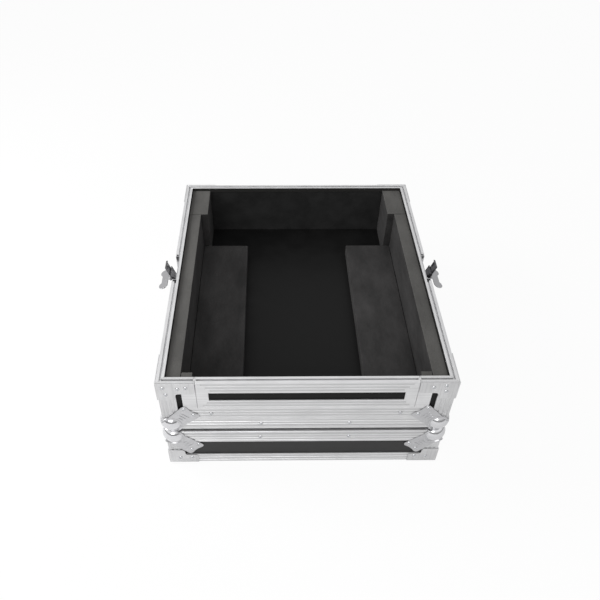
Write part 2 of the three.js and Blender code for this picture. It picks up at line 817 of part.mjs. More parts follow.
// Handle bail: one bent rod hanging from its pintles, with a thicker grip across it.
function handle_bail() {
  const grip_height = bail_height - bail_drop;
  const legs = [-1, 1].map((side) => round_bar(
    'z', grip_height, bail_height, [side * bail_half_width, bail_line], bail_radius, coarse_segments,
  ));
  const bends = [-1, 1].flatMap((side) => [grip_height, bail_height].map(
    (height) => ball([side * bail_half_width, bail_line, height], bail_radius, coarse_segments),
  ));
  const rod = round_bar(
    'x', -bail_half_width, bail_half_width, [bail_line, grip_height], bail_radius, coarse_segments,
  );
  const grip = round_bar('x', -grip_half_length, grip_half_length, [bail_line, grip_height], grip_radius);
  const pintles = [-1, 1].map((side) => round_bar(
    'x', ...ordered(side * bail_half_width, side * (bail_half_width + pintle_length)),
    [bail_line, bail_height], pintle_radius, coarse_segments,
  ));
  return joined(rod, grip, ...legs, ...bends, ...pintles);
}

function handled_board(half_length, half_span, top) {
  const half_x = handle_width / 2 - handle_border + dish_wall + seat_gap;
  const half_z = handle_height / 2 - handle_border + dish_wall + seat_gap;
  const recess = block(
    [-half_x, half_x], [0, dish_recess(handle_depth)], [handle_middle - half_z, handle_middle + half_z],
  );
  return wall_board(half_length, half_span, top).subtract(recess);
}

// Foam

// The step along the top of a foam block that clears the inner leg of the rim.
function rebated(body) {
  const step = block(
    [0, foam_start], [0, case_depth],
    [tray_height - rim_inner_leg - seat_gap, tray_height],
  );
  return body.subtract(step);
}

function side_liner() {
  const x = [panel_back + seat_gap, panel_back + liner_thickness];
  const y = [foam_start, case_depth - panel_back - cable_bay_depth - seat_gap];
  return rebated(block(x, y, [floor_top + seat_gap, foam_top]));
}

function rear_block() {
  const x = [panel_back + seat_gap, panel_back + rear_block_width];
  const start = case_depth - panel_back - cable_bay_depth;
  const y = [start, case_depth - foam_start];
  return rebated(block(x, y, [floor_top + seat_gap, foam_top]));
}

function front_strip() {
  const x = [panel_back + liner_thickness + seat_gap, panel_back + liner_thickness + front_strip_width];
  return block(x, [foam_start, strip_back], [floor_top + seat_gap, foam_top]);
}

// The mixer's seat, from behind the front strip to the cable bay.
function platform() {
  const x = [panel_back + liner_thickness + seat_gap, half_width - mixer_bay_half_width];
  const y = [strip_back + seat_gap, case_depth - panel_back - cable_bay_depth - seat_gap];
  return block(x, y, [floor_top + seat_gap, floor_top + platform_height]);
}

function lid_pad() {
  const half_x = half_width - panel_back - lid_foam_margin;
  const half_y = half_depth - panel_back - lid_foam_margin;
  const height = [panel_back + seat_gap, panel_back + lid_foam_thickness];
  return block([-half_x, half_x], [-half_y, half_y], height);
}

// Assembly

const walls = {
  front: { turn: 0, reach: half_depth, half_span: half_width },
  right: { turn: Math.PI / 2, reach: half_width, half_span: half_depth },
  rear: { turn: Math.PI, reach: half_depth, half_span: half_width },
  left: { turn: -Math.PI / 2, reach: half_width, half_span: half_depth },
};
const corners = {
  front_left: { turn: 0, x: -half_width, y: -half_depth },
  front_right: { turn: Math.PI / 2, x: half_width, y: -half_depth },
  rear_right: { turn: Math.PI, x: half_width, y: half_depth },
  rear_left: { turn: -Math.PI / 2, x: -half_width, y: half_depth },
};

function piece(name, body, material) {
  const mesh = new THREE.Mesh(surface(body), material);
  mesh.name = name;
  return mesh;
}

// A group whose x runs along a wall, y goes into the case from its outer face, and z is up.
function wall_group(parent, name) {
  const { turn, reach } = walls[name];
  const group = new THREE.Group();
  group.rotation.z = turn;
  group.position.set(reach * Math.sin(turn), -reach * Math.cos(turn), 0);
  parent.add(group);
  return group;
}

// A group at a corner whose x and y run into the case along its two faces.
function corner_group(parent, name) {
  const { turn, x, y } = corners[name];
  const group = new THREE.Group();
  group.rotation.z = turn;
  group.position.set(x, y, 0);
  parent.add(group);
  return group;
}

// The pieces of a latch, swung out about the hinge pin in its dish.
function add_latch(wall, side) {
  wall.add(piece(`${side}_latch_dish`, latch_dish(), plated_steel()));
  const swing = new THREE.Group();
  swing.position.set(0, hinge_depth, tray_height - hinge_drop);
  swing.rotation.x = THREE.MathUtils.degToRad(latch_open_angle);
  swing.add(piece(`${side}_latch_arm`, latch_arm(), plated_steel()));
  swing.add(piece(`${side}_latch_claw`, latch_claw(), plated_steel()));
  swing.add(piece(`${side}_latch_spindle`, latch_spindle(), plated_steel()));
  swing.add(piece(`${side}_latch_wing`, latch_wing(), plated_steel()));
  wall.add(swing);
}

function build_tray() {
  const tray = new THREE.Group();
  tray.position.z = tray_base;
  tray.add(piece('tray_floor_panel', full_base().subtract(corner_cubes()), black_laminate()));
  for (const [name, { half_span }] of Object.entries(walls)) {
    const wall = wall_group(tray, name);
    const full_length = half_span - panel_face;
    const between = half_span - panel_back - seat_gap;
    const boards = {
      front: () => front_board(),
      rear: () => handled_board(full_length, half_span, tray_panel_top),
      left: () => latched_board(between, half_span, tray_panel_top, tray_height - latch_height),
      right: () => latched_board(between, half_span, tray_panel_top, tray_height - latch_height),
    };
    wall.add(piece(`tray_${name}_panel`, boards[name](), black_laminate()));
    wall.add(piece(`tray_${name}_bottom_edge`, foot_edge(half_span, tray_edge_leg), ribbed_aluminium()));
    if (name === 'front') {
      wall.add(piece('front_opening_frame', opening_frame(), ribbed_aluminium()));
      wall.add(piece('front_panel_frame', panel_frame(), smooth_aluminium()));
      wall.add(piece('front_panel_board', panel_board(), black_laminate()));
    } else {
      wall.add(piece(`tray_${name}_rim`, tray_rim(half_span, name !== 'rear'), ribbed_aluminium()));
    }
    if (name === 'left' || name === 'right') add_latch(wall, name);
    if (name === 'rear') {
      wall.add(piece('rear_handle_dish', handle_dish(), plated_steel()));
      wall.add(piece('rear_handle_bail', handle_bail(), plated_steel()));
    }
  }
  const foams = { side_liner, platform, front_strip, rear_corner_block: rear_block };
  for (const name of Object.keys(corners)) {
    const corner = corner_group(tray, name);
    corner.add(piece(`tray_${name}_ball_corner`, ball_corner(tray_ear_reach), plated_steel()));
    if (name.startsWith('rear')) {
      corner.add(piece(`tray_${name}_corner_post`, tray_post(), smooth_aluminium()));
    }
  }
  for (const side of ['left', 'right']) {
    const corner = new THREE.Group();
    corner.position.set(side === 'left' ? -half_width : half_width, -half_depth, 0);
    const handed = (body) => (side === 'left' ? body : mirrored(body));
    corner.add(piece(`tray_front_${side}_corner_post`, handed(front_tray_post()), smooth_aluminium()));
    for (const [name, make] of Object.entries(foams)) {
      corner.add(piece(`${side}_${name}_foam`, handed(make()), charcoal_foam()));
    }
    tray.add(corner);
  }
  return tray;
}

// The lid is modelled mouth up like the tray, then turned over onto the floor.
function build_lid() {
  const lid = new THREE.Group();
  lid.rotation.x = Math.PI;
  lid.position.z = lid_base + lid_height;
  const turned_over = { front: 'rear', rear: 'front' };
  lid.add(piece('lid_shell', lid_box(), black_laminate()));
  lid.add(piece('lid_foam_pad', lid_pad(), charcoal_foam()));
  const notch_depth = dish_recess(latch_depth);
  const notch_half = latch_width / 2 + seat_gap;
  const through = half_width + cut_overrun;
  const across = block(
    [-through, through], [-notch_half, notch_half],
    [lid_height - lid_rim_leg - cut_overrun, lid_height + tongue_height + cut_overrun],
  );
  const kept = block(
    [notch_depth - half_width, half_width - notch_depth], [-half_depth, half_depth],
    [0, lid_height + tongue_height + 2 * cut_overrun],
  );
  const rim = mitred_ring(rim_section(lid_height, lid_rim_leg, true), half_width, half_depth);
  lid.add(piece('lid_rim', rim.subtract(across.subtract(kept)), ribbed_aluminium()));
  for (const [name, { half_span }] of Object.entries(walls)) {
    const wall = wall_group(lid, name);
    const shown = turned_over[name] ?? name;
    wall.add(piece(`lid_${shown}_top_edge`, foot_edge(half_span, lid_edge_leg), ribbed_aluminium()));
    if (shown === name) wall.add(piece(`lid_${name}_latch_keeper`, keeper(), plated_steel()));
  }
  for (const name of Object.keys(corners)) {
    const corner = corner_group(lid, name);
    const [end, side] = name.split('_');
    const shown = `${turned_over[end]}_${side}`;
    corner.add(piece(`lid_${shown}_corner_post`, lid_post(), smooth_aluminium()));
    const ear_reach = lid_height * lid_ear_reach_share;
    corner.add(piece(`lid_${shown}_ball_corner`, ball_corner(ear_reach), plated_steel()));
  }
  return lid;
}

const flight_case = new THREE.Group();
flight_case.add(build_lid());
flight_case.add(build_tray());

export default flight_case;
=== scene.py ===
"""DJ mixer flight case: finishes, foam, ball corners, latches, rivets and the studio."""
import json
import math

import bmesh
import bpy
from mathutils import Matrix, Vector, noise


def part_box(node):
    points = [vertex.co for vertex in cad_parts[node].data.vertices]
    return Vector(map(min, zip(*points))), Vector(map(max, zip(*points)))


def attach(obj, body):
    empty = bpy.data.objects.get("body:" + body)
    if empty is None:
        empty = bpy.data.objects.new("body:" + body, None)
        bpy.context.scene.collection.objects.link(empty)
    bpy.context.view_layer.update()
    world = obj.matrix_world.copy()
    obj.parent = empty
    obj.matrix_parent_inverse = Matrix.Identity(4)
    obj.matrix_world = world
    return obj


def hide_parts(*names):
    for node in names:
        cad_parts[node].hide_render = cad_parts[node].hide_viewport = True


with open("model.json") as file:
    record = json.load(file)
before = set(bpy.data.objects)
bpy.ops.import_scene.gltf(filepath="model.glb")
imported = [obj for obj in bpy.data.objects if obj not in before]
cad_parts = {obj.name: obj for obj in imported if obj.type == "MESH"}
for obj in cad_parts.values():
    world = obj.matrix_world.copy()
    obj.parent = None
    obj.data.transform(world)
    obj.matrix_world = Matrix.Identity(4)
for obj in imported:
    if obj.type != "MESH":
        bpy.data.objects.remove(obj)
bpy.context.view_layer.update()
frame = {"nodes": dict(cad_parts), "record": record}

bl_info = {
    "name": "DJ mixer flight case",
    "version": (1, 0, 0),
    "blender": (4, 5, 0),
    "location": "View3D > Sidebar > Flight Case",
    "description": "Dresses the frame of a DJ mixer flight case with its foam, fittings and finishes",
    "category": "Object",
}

# What the frame says

MM = 0.001
NODES = frame["nodes"]
SLOT_OF = {part["node"]: part["material_slot"] for part in frame["record"]["subparts"]}
BODY_OF = {node: body for body, nodes in frame["record"]["behaviour"]["bodies"].items() for node in nodes}
RIM_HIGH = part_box("lid_rim")[1]
HALF_X = RIM_HIGH.x
HALF_Y = RIM_HIGH.y


# Settings

class CaseSizes(bpy.types.PropertyGroup):
    rivet_radius: bpy.props.FloatProperty(
        name="Rivet radius", description="Half the width of a rivet's head",
        default=3.7 * MM, min=0, unit="LENGTH")
    rivet_rise: bpy.props.FloatProperty(
        name="Rivet rise", description="How far a rivet's head stands out of its plate",
        default=1.4 * MM, min=0, unit="LENGTH")
    ball_radius: bpy.props.FloatProperty(
        name="Ball radius", description="Radius of the ball of a ball corner",
        default=21 * MM, min=0, unit="LENGTH")
    ball_inset: bpy.props.FloatProperty(
        name="Ball inset", description="How far a ball's centre lies inside each face of the case",
        default=13.5 * MM, min=0, unit="LENGTH")
    stacking_rise: bpy.props.FloatProperty(
        name="Stacking rise", description="How far a ball stands out where the tray and the lid meet",
        default=4.4 * MM, min=0, unit="LENGTH")
    ear_gap: bpy.props.FloatProperty(
        name="Ear gap", description="Gap between an ear of a ball corner and the ribs under it",
        default=0.3 * MM, min=0, unit="LENGTH")
    ear_thickness: bpy.props.FloatProperty(
        name="Ear thickness", description="Thickness of the pressed steel of a ball corner",
        default=1 * MM, min=0, unit="LENGTH")
    ear_half_width: bpy.props.FloatProperty(
        name="Ear half width", description="Half the width of an ear of a ball corner, at its end",
        default=20 * MM, min=0, unit="LENGTH")
    ear_reach: bpy.props.FloatProperty(
        name="Ear reach", description="How far an ear reaches from the corner along the diagonal",
        default=76 * MM, min=0, unit="LENGTH")
    collar_radius: bpy.props.FloatProperty(
        name="Collar radius", description="Radius of the raised collar round a ball",
        default=20 * MM, min=0, unit="LENGTH")
    collar_rise: bpy.props.FloatProperty(
        name="Collar rise", description="How far the collar stands out of the ears",
        default=0.9 * MM, min=0, unit="LENGTH")
    edge_round: bpy.props.FloatProperty(
        name="Edge rounding", description="Radius of the outer corner of an edge angle",
        default=1.8 * MM, min=0, unit="LENGTH")
    foam_round: bpy.props.FloatProperty(
        name="Foam rounding", description="Softness of the cut edges of the foam",
        default=1 * MM, min=0, unit="LENGTH")
    foam_sway: bpy.props.FloatProperty(
        name="Foam sway", description="How far a cut foam face wanders from flat",
        default=0.35 * MM, min=0, unit="LENGTH")


class CaseColours(bpy.types.PropertyGroup):
    ribbed: bpy.props.StringProperty(
        name="Ribbed extrusion", description="Satin aluminium of the ribbed edges", default="#DCDCDD")
    smooth: bpy.props.StringProperty(
        name="Smooth plate", description="Aluminium of the corner plates and the panel frame",
        default="#D2D2D3")
    plated: bpy.props.StringProperty(
        name="Plated steel", description="Zinc on the ball corners and latches", default="#C3C3C5")
    # Painted shade: the latch arms, claws and spindles are coloured dark grey for the shade of the dish
    # pockets that hold them.
    arm_shade: bpy.props.StringProperty(
        name="Shaded latch steel", description="Steel of the latch arms and claws, painted dark as the shade of the dish pockets", default="#6E6E70")
    rivet: bpy.props.StringProperty(
        name="Rivet", description="Steel of the rivets", default="#CBCCCE")
    laminate: bpy.props.StringProperty(
        name="Laminate", description="Black laminate of the boards", default="#262626")
    backing: bpy.props.StringProperty(
        name="Backing sheet", description="Matt black back of the boards", default="#141414")
    # Painted shade: the dark grey that the faces of the tray's rims looking into the case get in place of
    # bare aluminium.
    inner_leg_shade: bpy.props.StringProperty(
        name="Rim inner shade", description="Painted shade on the inner legs of the tray's rims",
        default="#454443")
    foam: bpy.props.StringProperty(
        name="Foam", description="Charcoal foam with its skin on", default="#302F2F")
    cut_foam: bpy.props.StringProperty(
        name="Cut foam", description="Rubbed tops of the foam liners", default="#5A5957")
    floor: bpy.props.StringProperty(
        name="Studio floor", description="Pale studio floor", default="#F4F4F4")


class CameraSettings(bpy.types.PropertyGroup):
    focal_pixels: bpy.props.FloatProperty(
        name="Focal length", description="Focal length in pixels of the 600 pixel frame", default=626.22)
    centre_x: bpy.props.FloatProperty(
        name="Centre", description="Pixel column that the camera's axis meets", default=277.71)
    centre_y: bpy.props.FloatProperty(
        name="Level", description="Pixel row that the camera's axis meets", default=316.44)
    turn: bpy.props.FloatProperty(
        name="Turn", description="Turn to the right, from straight at the front",
        default=0.01619, subtype="ANGLE")
    tip: bpy.props.FloatProperty(
        name="Tip", description="Tip down from level", default=0.78289, subtype="ANGLE")
    roll: bpy.props.FloatProperty(
        name="Roll", description="Roll about the camera's axis", default=0.00728, subtype="ANGLE")
    place: bpy.props.FloatVectorProperty(
        name="Place", description="Where the camera stands",
        default=(-0.0592, -0.9187, 1.0116), size=3, subtype="TRANSLATION")


FRAME_PIXELS = 600
SENSOR_MM = 36


def sizes():
    return bpy.context.scene.case_sizes


def colours():
    return bpy.context.scene.case_colours


# Shader helpers

def linear(hex_colour):
    """Turns an sRGB hex colour into the linear RGBA that a shader takes."""
    levels = [int(hex_colour.lstrip("#")[i:i + 2], 16) / 255 for i in (0, 2, 4)]
    return [c / 12.92 if c <= 0.04045 else ((c + 0.055) / 1.055) ** 2.4 for c in levels] + [1]


def add_node(tree, kind, settings=None, **inputs):
    """Adds a node with its settings and inputs; an input is a value or another node's socket."""
    made = tree.nodes.new(kind)
    for name, value in (settings or {}).items():
        setattr(made, name, value)
    for name, value in inputs.items():
        key = int(name[1:]) if name[1:].isdigit() else name.replace("_", " ")
        socket = made.inputs[key]
        if isinstance(value, bpy.types.NodeSocket):
            tree.links.new(value, socket)
        else:
            socket.default_value = value
    return made


def start_material(name):
    """Adds an empty material and gives its node tree."""
    material = bpy.data.materials.new(name)
    material.use_nodes = True
    material.node_tree.nodes.clear()
    return material.node_tree


def finish_material(tree, shader):
    add_node(tree, "ShaderNodeOutputMaterial", Surface=shader.outputs[0])


def object_place(tree, scale=(1, 1, 1)):
    """Object coordinates, stretched by the given scale."""
    place = add_node(tree, "ShaderNodeTexCoord")
    return add_node(tree, "ShaderNodeMapping", Vector=place.outputs["Object"], Scale=scale).outputs[0]


def blend_colours(tree, factor, low, high):
    """A colour that runs from low to high with a factor."""
    mix = add_node(tree, "ShaderNodeMix", {"data_type": "RGBA"}, i0=factor, i6=low, i7=high)
    return mix.outputs[2]


def ranged(tree, value, low, high, from_low=0.0, from_high=1.0):
    """A number from one range laid onto another."""
    return add_node(tree, "ShaderNodeMapRange", None, Value=value, From_Min=from_low, From_Max=from_high,
                    To_Min=low, To_Max=high).outputs[0]


def shade(hex_colour, share):
    """A colour made lighter or darker by a share of its linear level."""
    red, green, blue, alpha = linear(hex_colour)
    return [min(1, red * share), min(1, green * share), min(1, blue * share), alpha]


# Materials

HANDLING_PATCH = 45 * MM
DIE_LINE_SHADE = 0.62
SPANGLE = 3 * MM
SCUFF = 30 * MM
PAINTED_BALL_SHEEN = 1.25
DRAWN_GLOSS = 0.12
LEATHER_GRAIN = 1.2 * MM
LAMINATE_RUB = 38 * MM
FOAM_CELL = 1.5 * MM
FOAM_MOTTLE = 48 * MM
KNIFE_DRAG = 7 * MM


def aluminium(name, hex_colour, streak, roughness, painted_groove_shade=1.0):
    """Natural aluminium, drawn through a die and satin anodised. The die leaves fine lines along
    the length, which the piece's grain attribute gives, drawn here a little coarser than real so
    that they show, and handling leaves faint duller patches. The groove floors between the ribs
    are coloured greyer than the ribs, as painted shade. The faces of the tray's rims that look into
    the case are coloured dark grey, as painted shade of the case's inside."""
    tree = start_material(name)
    grain = add_node(tree, "ShaderNodeAttribute", {"attribute_name": "grain"})
    along = add_node(tree, "ShaderNodeVectorMath", {"operation": "MULTIPLY"}, i0=object_place(tree),
                     i1=grain.outputs["Vector"])
    lines = add_node(tree, "ShaderNodeTexNoise", None, Vector=along.outputs[0], Scale=1 / streak,
                     Detail=3.0, Roughness=0.6)
    patches = add_node(tree, "ShaderNodeTexNoise", None, Vector=object_place(tree),
                       Scale=1 / HANDLING_PATCH, Detail=4.0, Roughness=0.55)
    rubbed = blend_colours(tree, ranged(tree, patches.outputs[0], 0, 1, 0.35, 0.65),
                           shade(hex_colour, 0.92), shade(hex_colour, 1.03))
    # Painted shade: the groove floors between the ribs take a darker copy of the colour.
    groove = add_node(tree, "ShaderNodeAttribute", {"attribute_name": "groove"})
    ribbed = blend_colours(tree, groove.outputs["Fac"], rubbed, shade(hex_colour, painted_groove_shade))
    drawn = ranged(tree, lines.outputs[0], 0.0, 0.35, 0.45, 0.7)
    ribbed = blend_colours(tree, drawn, ribbed, shade(hex_colour, DIE_LINE_SHADE))
    # Painted shade: the faces of the tray's rims that look into the case take a dark grey.
    painted_inner_shade = add_node(tree, "ShaderNodeAttribute", {"attribute_name": "painted_inner_shade"})
    colour = blend_colours(tree, painted_inner_shade.outputs["Fac"], ribbed, linear(colours().inner_leg_shade))
    dull = ranged(tree, lines.outputs[0], roughness - 0.06, roughness + 0.08, 0.3, 0.7)
    bump = add_node(tree, "ShaderNodeBump", None, Strength=0.2, Distance=0.1 * MM,
                    Height=lines.outputs[0])
    finish_material(tree, add_node(tree, "ShaderNodeBsdfPrincipled", None, Base_Color=colour, Metallic=0.7,
                                   Roughness=dull, Normal=bump.outputs[0]))


def plated_steel(name, hex_colour, smooth, dull):
    """Zinc over pressed steel: close to a mirror, softened by the spangle of the plating and by
    fine scuffs. The drawn ball is smoother than the flat metal round it, and its colour is painted
    lighter as a painted sheen. The same finish in a darker grey, coloured as painted shade of the
    latch dishes' pockets, goes on the latch arms, claws and spindles and mirrors the studio dimly,
    and in a paler one it is the nickel of the rivets."""
    tree = start_material(name)
    spangle = add_node(tree, "ShaderNodeTexVoronoi", None, Vector=object_place(tree), Scale=1 / SPANGLE)
    scuffs = add_node(tree, "ShaderNodeTexNoise", None, Vector=object_place(tree), Scale=1 / SCUFF,
                      Detail=5.0, Roughness=0.6)
    colour = blend_colours(tree, ranged(tree, scuffs.outputs[0], 0, 1, 0.35, 0.65),
                           shade(hex_colour, 0.93), shade(hex_colour, 1.03))
    drawn = add_node(tree, "ShaderNodeAttribute", {"attribute_name": "drawn"})
    # Painted sheen: the drawn ball's colour is lighter than the flat metal of the same pressing.
    colour = blend_colours(tree, drawn.outputs["Fac"], colour, shade(hex_colour, PAINTED_BALL_SHEEN))
    flat = ranged(tree, spangle.outputs["Distance"], smooth, dull)
    gloss = add_node(tree, "ShaderNodeMix", None, i0=drawn.outputs["Fac"], i2=flat, i3=DRAWN_GLOSS)
    bump = add_node(tree, "ShaderNodeBump", None, Strength=0.06, Distance=0.1 * MM,
                    Height=scuffs.outputs[0])
    finish_material(tree, add_node(tree, "ShaderNodeBsdfPrincipled", None, Base_Color=colour, Metallic=0.9,
                                   Roughness=gloss.outputs[0], Normal=bump.outputs[0]))


def laminate(name, hex_colour, gloss):
    """Black high-pressure laminate with a leathery grain of about half a millimetre, drawn at 1.2 mm
    so that it shows. It catches a soft grey sheen and shows faint rubs. The balancing sheet on the
    back of a board is the same stuff, pressed matt, and looks deeper black."""
    tree = start_material(name)
    grain = add_node(tree, "ShaderNodeTexNoise", None, Vector=object_place(tree), Scale=1 / LEATHER_GRAIN,
                     Detail=2.0, Roughness=0.5)
    rubs = add_node(tree, "ShaderNodeTexNoise", None, Vector=object_place(tree), Scale=1 / LAMINATE_RUB,
                    Detail=5.0, Roughness=0.62)
    colour = blend_colours(tree, ranged(tree, rubs.outputs[0], 0, 1, 0.4, 0.75),
                           shade(hex_colour, 0.85), shade(hex_colour, 1.3))
    dull = ranged(tree, rubs.outputs[0], 0.42, 0.6, 0.3, 0.7)
    bump = add_node(tree, "ShaderNodeBump", None, Strength=0.35, Distance=0.15 * MM,
                    Height=grain.outputs[0])
    finish_material(tree, add_node(tree, "ShaderNodeBsdfPrincipled", None, Base_Color=colour, Metallic=0.0,
                                   Roughness=dull, IOR=1.5, Specular_IOR_Level=gloss,
                                   Normal=bump.outputs[0]))


def foam(name, hex_colour, cut_colour):
    """Charcoal closed-cell foam, cut with a knife. The open cells at the cut are about half a
    millimetre, drawn as 1.5 mm so that they show; the surface is dry and mottled, and the cut tops
    of the liners are paler than the skin."""
    tree = start_material(name)
    cells = add_node(tree, "ShaderNodeTexVoronoi", None, Vector=object_place(tree), Scale=1 / FOAM_CELL)
    mottle = add_node(tree, "ShaderNodeTexNoise", None, Vector=object_place(tree, (1, 0.45, 1)),
                      Scale=1 / FOAM_MOTTLE, Detail=6.0, Roughness=0.62)
    drag = add_node(tree, "ShaderNodeTexNoise", None, Vector=object_place(tree, (1, 0.12, 1)),
                    Scale=1 / KNIFE_DRAG, Detail=3.0, Roughness=0.5)
    patchy = ranged(tree, mottle.outputs[0], 0, 1, 0.32, 0.68)
    skin = blend_colours(tree, patchy, shade(hex_colour, 0.55), shade(hex_colour, 1.7))
    top = blend_colours(tree, patchy, shade(cut_colour, 0.8), shade(cut_colour, 1.2))
    cut = add_node(tree, "ShaderNodeAttribute", {"attribute_name": "cut"})
    mottled = blend_colours(tree, cut.outputs["Fac"], skin, top)
    # Painted shade: the pits of the open cells are coloured darker than the foam round them.
    celled = blend_colours(tree, ranged(tree, cells.outputs["Distance"], 0.35, 0.0, 0.1, 0.7),
                           mottled, shade(hex_colour, 0.5))
    height = add_node(tree, "ShaderNodeMath", {"operation": "ADD"}, i0=cells.outputs["Distance"],
                      i1=drag.outputs[0])
    bump = add_node(tree, "ShaderNodeBump", None, Strength=0.5, Distance=0.35 * MM,
                    Height=height.outputs[0])
    finish_material(tree, add_node(tree, "ShaderNodeBsdfPrincipled", None, Base_Color=celled, Metallic=0.0,
                                   Roughness=0.93, IOR=1.45, Normal=bump.outputs[0]))


# Mesh helpers

CREASE = math.radians(35)
FLAT = math.radians(0.3)
WELD = 0.001 * MM
CAD_WELD = 0.005 * MM
TOUCHING = 0.01 * MM


def start_piece(name, work, material, body):
    """Turns a finished bmesh into an object that rides on a body and takes its finish from a slot.
    Edges that turn by more than the crease stay sharp."""
    mesh = bpy.data.meshes.new(name)
    work.to_mesh(mesh)
    work.free()
    mesh.shade_smooth()
    mesh.set_sharp_from_angle(angle=CREASE)
    piece = bpy.data.objects.new(name, mesh)
    bpy.context.scene.collection.objects.link(piece)
    piece.data.materials.append(bpy.data.materials[material])
    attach(piece, body)
    return piece


def bevelled(piece, width, segments, angle, flat=True):
    """Rounds a piece's edges with a live modifier where they turn by more than an angle, in
    degrees. Its flat faces are shaded flat, or else run softly into the rounding."""
    modifier = piece.modifiers.new("soft edges", "BEVEL")
    modifier.width = width
    modifier.segments = segments
    modifier.limit_method = "ANGLE"
    modifier.angle_limit = math.radians(angle)
    modifier.harden_normals = flat


def merged_copy(node):
    """A CAD node's shape as one joined surface, with its flat faces whole again."""
    work = bmesh.new()
    work.from_mesh(NODES[node].data)
    bmesh.ops.remove_doubles(work, verts=work.verts, dist=CAD_WELD)
    bmesh.ops.dissolve_limit(work, angle_limit=FLAT, verts=work.verts, edges=work.edges)
    return work


def box_work(low, high):
    """A plain block between two corners, as a bmesh to be shaped further."""
    work = bmesh.new()
    middle = (Vector(low) + Vector(high)) / 2
    span = Vector(high) - Vector(low)
    bmesh.ops.create_cube(work, size=1, matrix=Matrix.Translation(middle) @ Matrix.Diagonal(span.to_4d()))
    return work


def cut_away(target, cutter):
    """Cuts one bmesh out of another and gives the rest back as a bmesh."""
    pair = []
    for work in (target, cutter):
        mesh = bpy.data.meshes.new("cutting")
        work.to_mesh(mesh)
        work.free()
        made = bpy.data.objects.new("cutting", mesh)
        bpy.context.scene.collection.objects.link(made)
        pair.append(made)
    modifier = pair[0].modifiers.new("cut", "BOOLEAN")
    modifier.object = pair[1]
    modifier.operation = "DIFFERENCE"
    modifier.solver = "EXACT"
    cut = pair[0].evaluated_get(bpy.context.evaluated_depsgraph_get()).to_mesh()
    rest = bmesh.new()
    rest.from_mesh(cut)
    for made in pair:
        mesh = made.data
        bpy.data.objects.remove(made)
        bpy.data.meshes.remove(mesh)
    return rest


def join_into(whole, part, matrix=Matrix.Identity(4)):
    """Adds a bmesh to another, placed by a matrix, and frees it. A mirroring matrix is put right."""
    bmesh.ops.transform(part, matrix=matrix, verts=part.verts)
    if matrix.determinant() < 0:
        bmesh.ops.reverse_faces(part, faces=part.faces)
    mesh = bpy.data.meshes.new("joining")
    part.to_mesh(mesh)
    part.free()
    whole.from_mesh(mesh)
    bpy.data.meshes.remove(mesh)


# Ball corners

# The frame's extrusions end 13.5 mm short of each corner. The ball fills that room as far as
# CORNER_CUT, just clear of their ends. The plane that opens the collars for the ball meets each edge
# of the case BALL_SLICE from the corner.

EAR_START = 16.5 * MM
EAR_ROUND = 8 * MM
EAR_DIP = 4 * MM
EAR_DIP_ROUND = 6 * MM
EAR_LIP = 0.5 * MM
EAR_FLARE = 5 * MM
CORNER_CUT = 13.2 * MM
CAP_FAR = 42 * MM
BALL_SLICE = 12 * MM
COLLAR_MOAT = 16.3 * MM
COLLAR_EDGE = 0.9 * MM
COLLAR_FOLD = 1.3 * MM
COLLAR_STEPS = 72
BALL_STEPS = (48, 32)
CUT_OVERRUN = 2 * MM
RIDGES = ((43.5 * MM, 7 * MM), (49.9 * MM, 8.8 * MM), (56.3 * MM, 11 * MM))
RIDGE_HALF_WIDTH = 1.5 * MM
RIDGE_RISE = 1.1 * MM
RIDGE_SHARES = ((0, -1), (1, -1), (1, 0), (0.8, 0.55), (0.45, 0.9), (0, 1))
RIDGE_STEPS = 16


def turned(profile, segments):
    """Turns (radius, height) points that start and end on the z axis into a closed round form. It is
    built ring by ring, because Blender's own spin orders its faces differently in each run."""
    work = bmesh.new()
    turns = [Matrix.Rotation(math.tau * step / segments, 3, "Z") for step in range(segments)]
    rings = []
    for radius, height in profile:
        if radius:
            rings.append([work.verts.new(turn @ Vector((radius, 0, height))) for turn in turns])
        else:
            rings.append([work.verts.new((0, 0, height))] * segments)
    for ring, following in zip(rings, rings[1:]):
        for step in range(segments):
            points = (ring[step - 1], ring[step], following[step], following[step - 1])
            work.faces.new(dict.fromkeys(points))
    bmesh.ops.recalc_face_normals(work, faces=work.faces)
    return work


def rounded_outline(points, rounds):
    """A flat face through the points, each corner rounded by its own offset, in the plane z = 0."""
    work = bmesh.new()
    corners = [work.verts.new((x, y, 0)) for x, y in points]
    work.faces.new(corners)
    for corner, offset in zip(corners, rounds):
        if offset:
            bmesh.ops.bevel(work, geom=[corner], offset=offset, segments=8, profile=0.5,
                            affect="VERTICES", material=-1)
    return work


def thicken(work, depth):
    """Raises a flat outline along z into a block. Like the turned forms, it is built face by face."""
    ring = [vertex for face in work.faces for vertex in face.verts]
    raised = [work.verts.new(vertex.co + Vector((0, 0, depth))) for vertex in ring]
    work.faces.new(raised)
    for step in range(len(ring)):
        work.faces.new((ring[step - 1], ring[step], raised[step], raised[step - 1]))
    bmesh.ops.recalc_face_normals(work, faces=work.faces)
    return work


def soften_rims(work, width, height):
    """Bevels every edge that lies at one height."""
    rims = [edge for edge in work.edges if all(abs(v.co.z - height) < WELD for v in edge.verts)]
    bmesh.ops.bevel(work, geom=rims, offset=width, segments=3, profile=0.5,
                    affect="EDGES", material=-1)


def ear_face():
    """How far the outside of an ear stands out of the case's face."""
    return sizes().ear_gap + sizes().ear_thickness


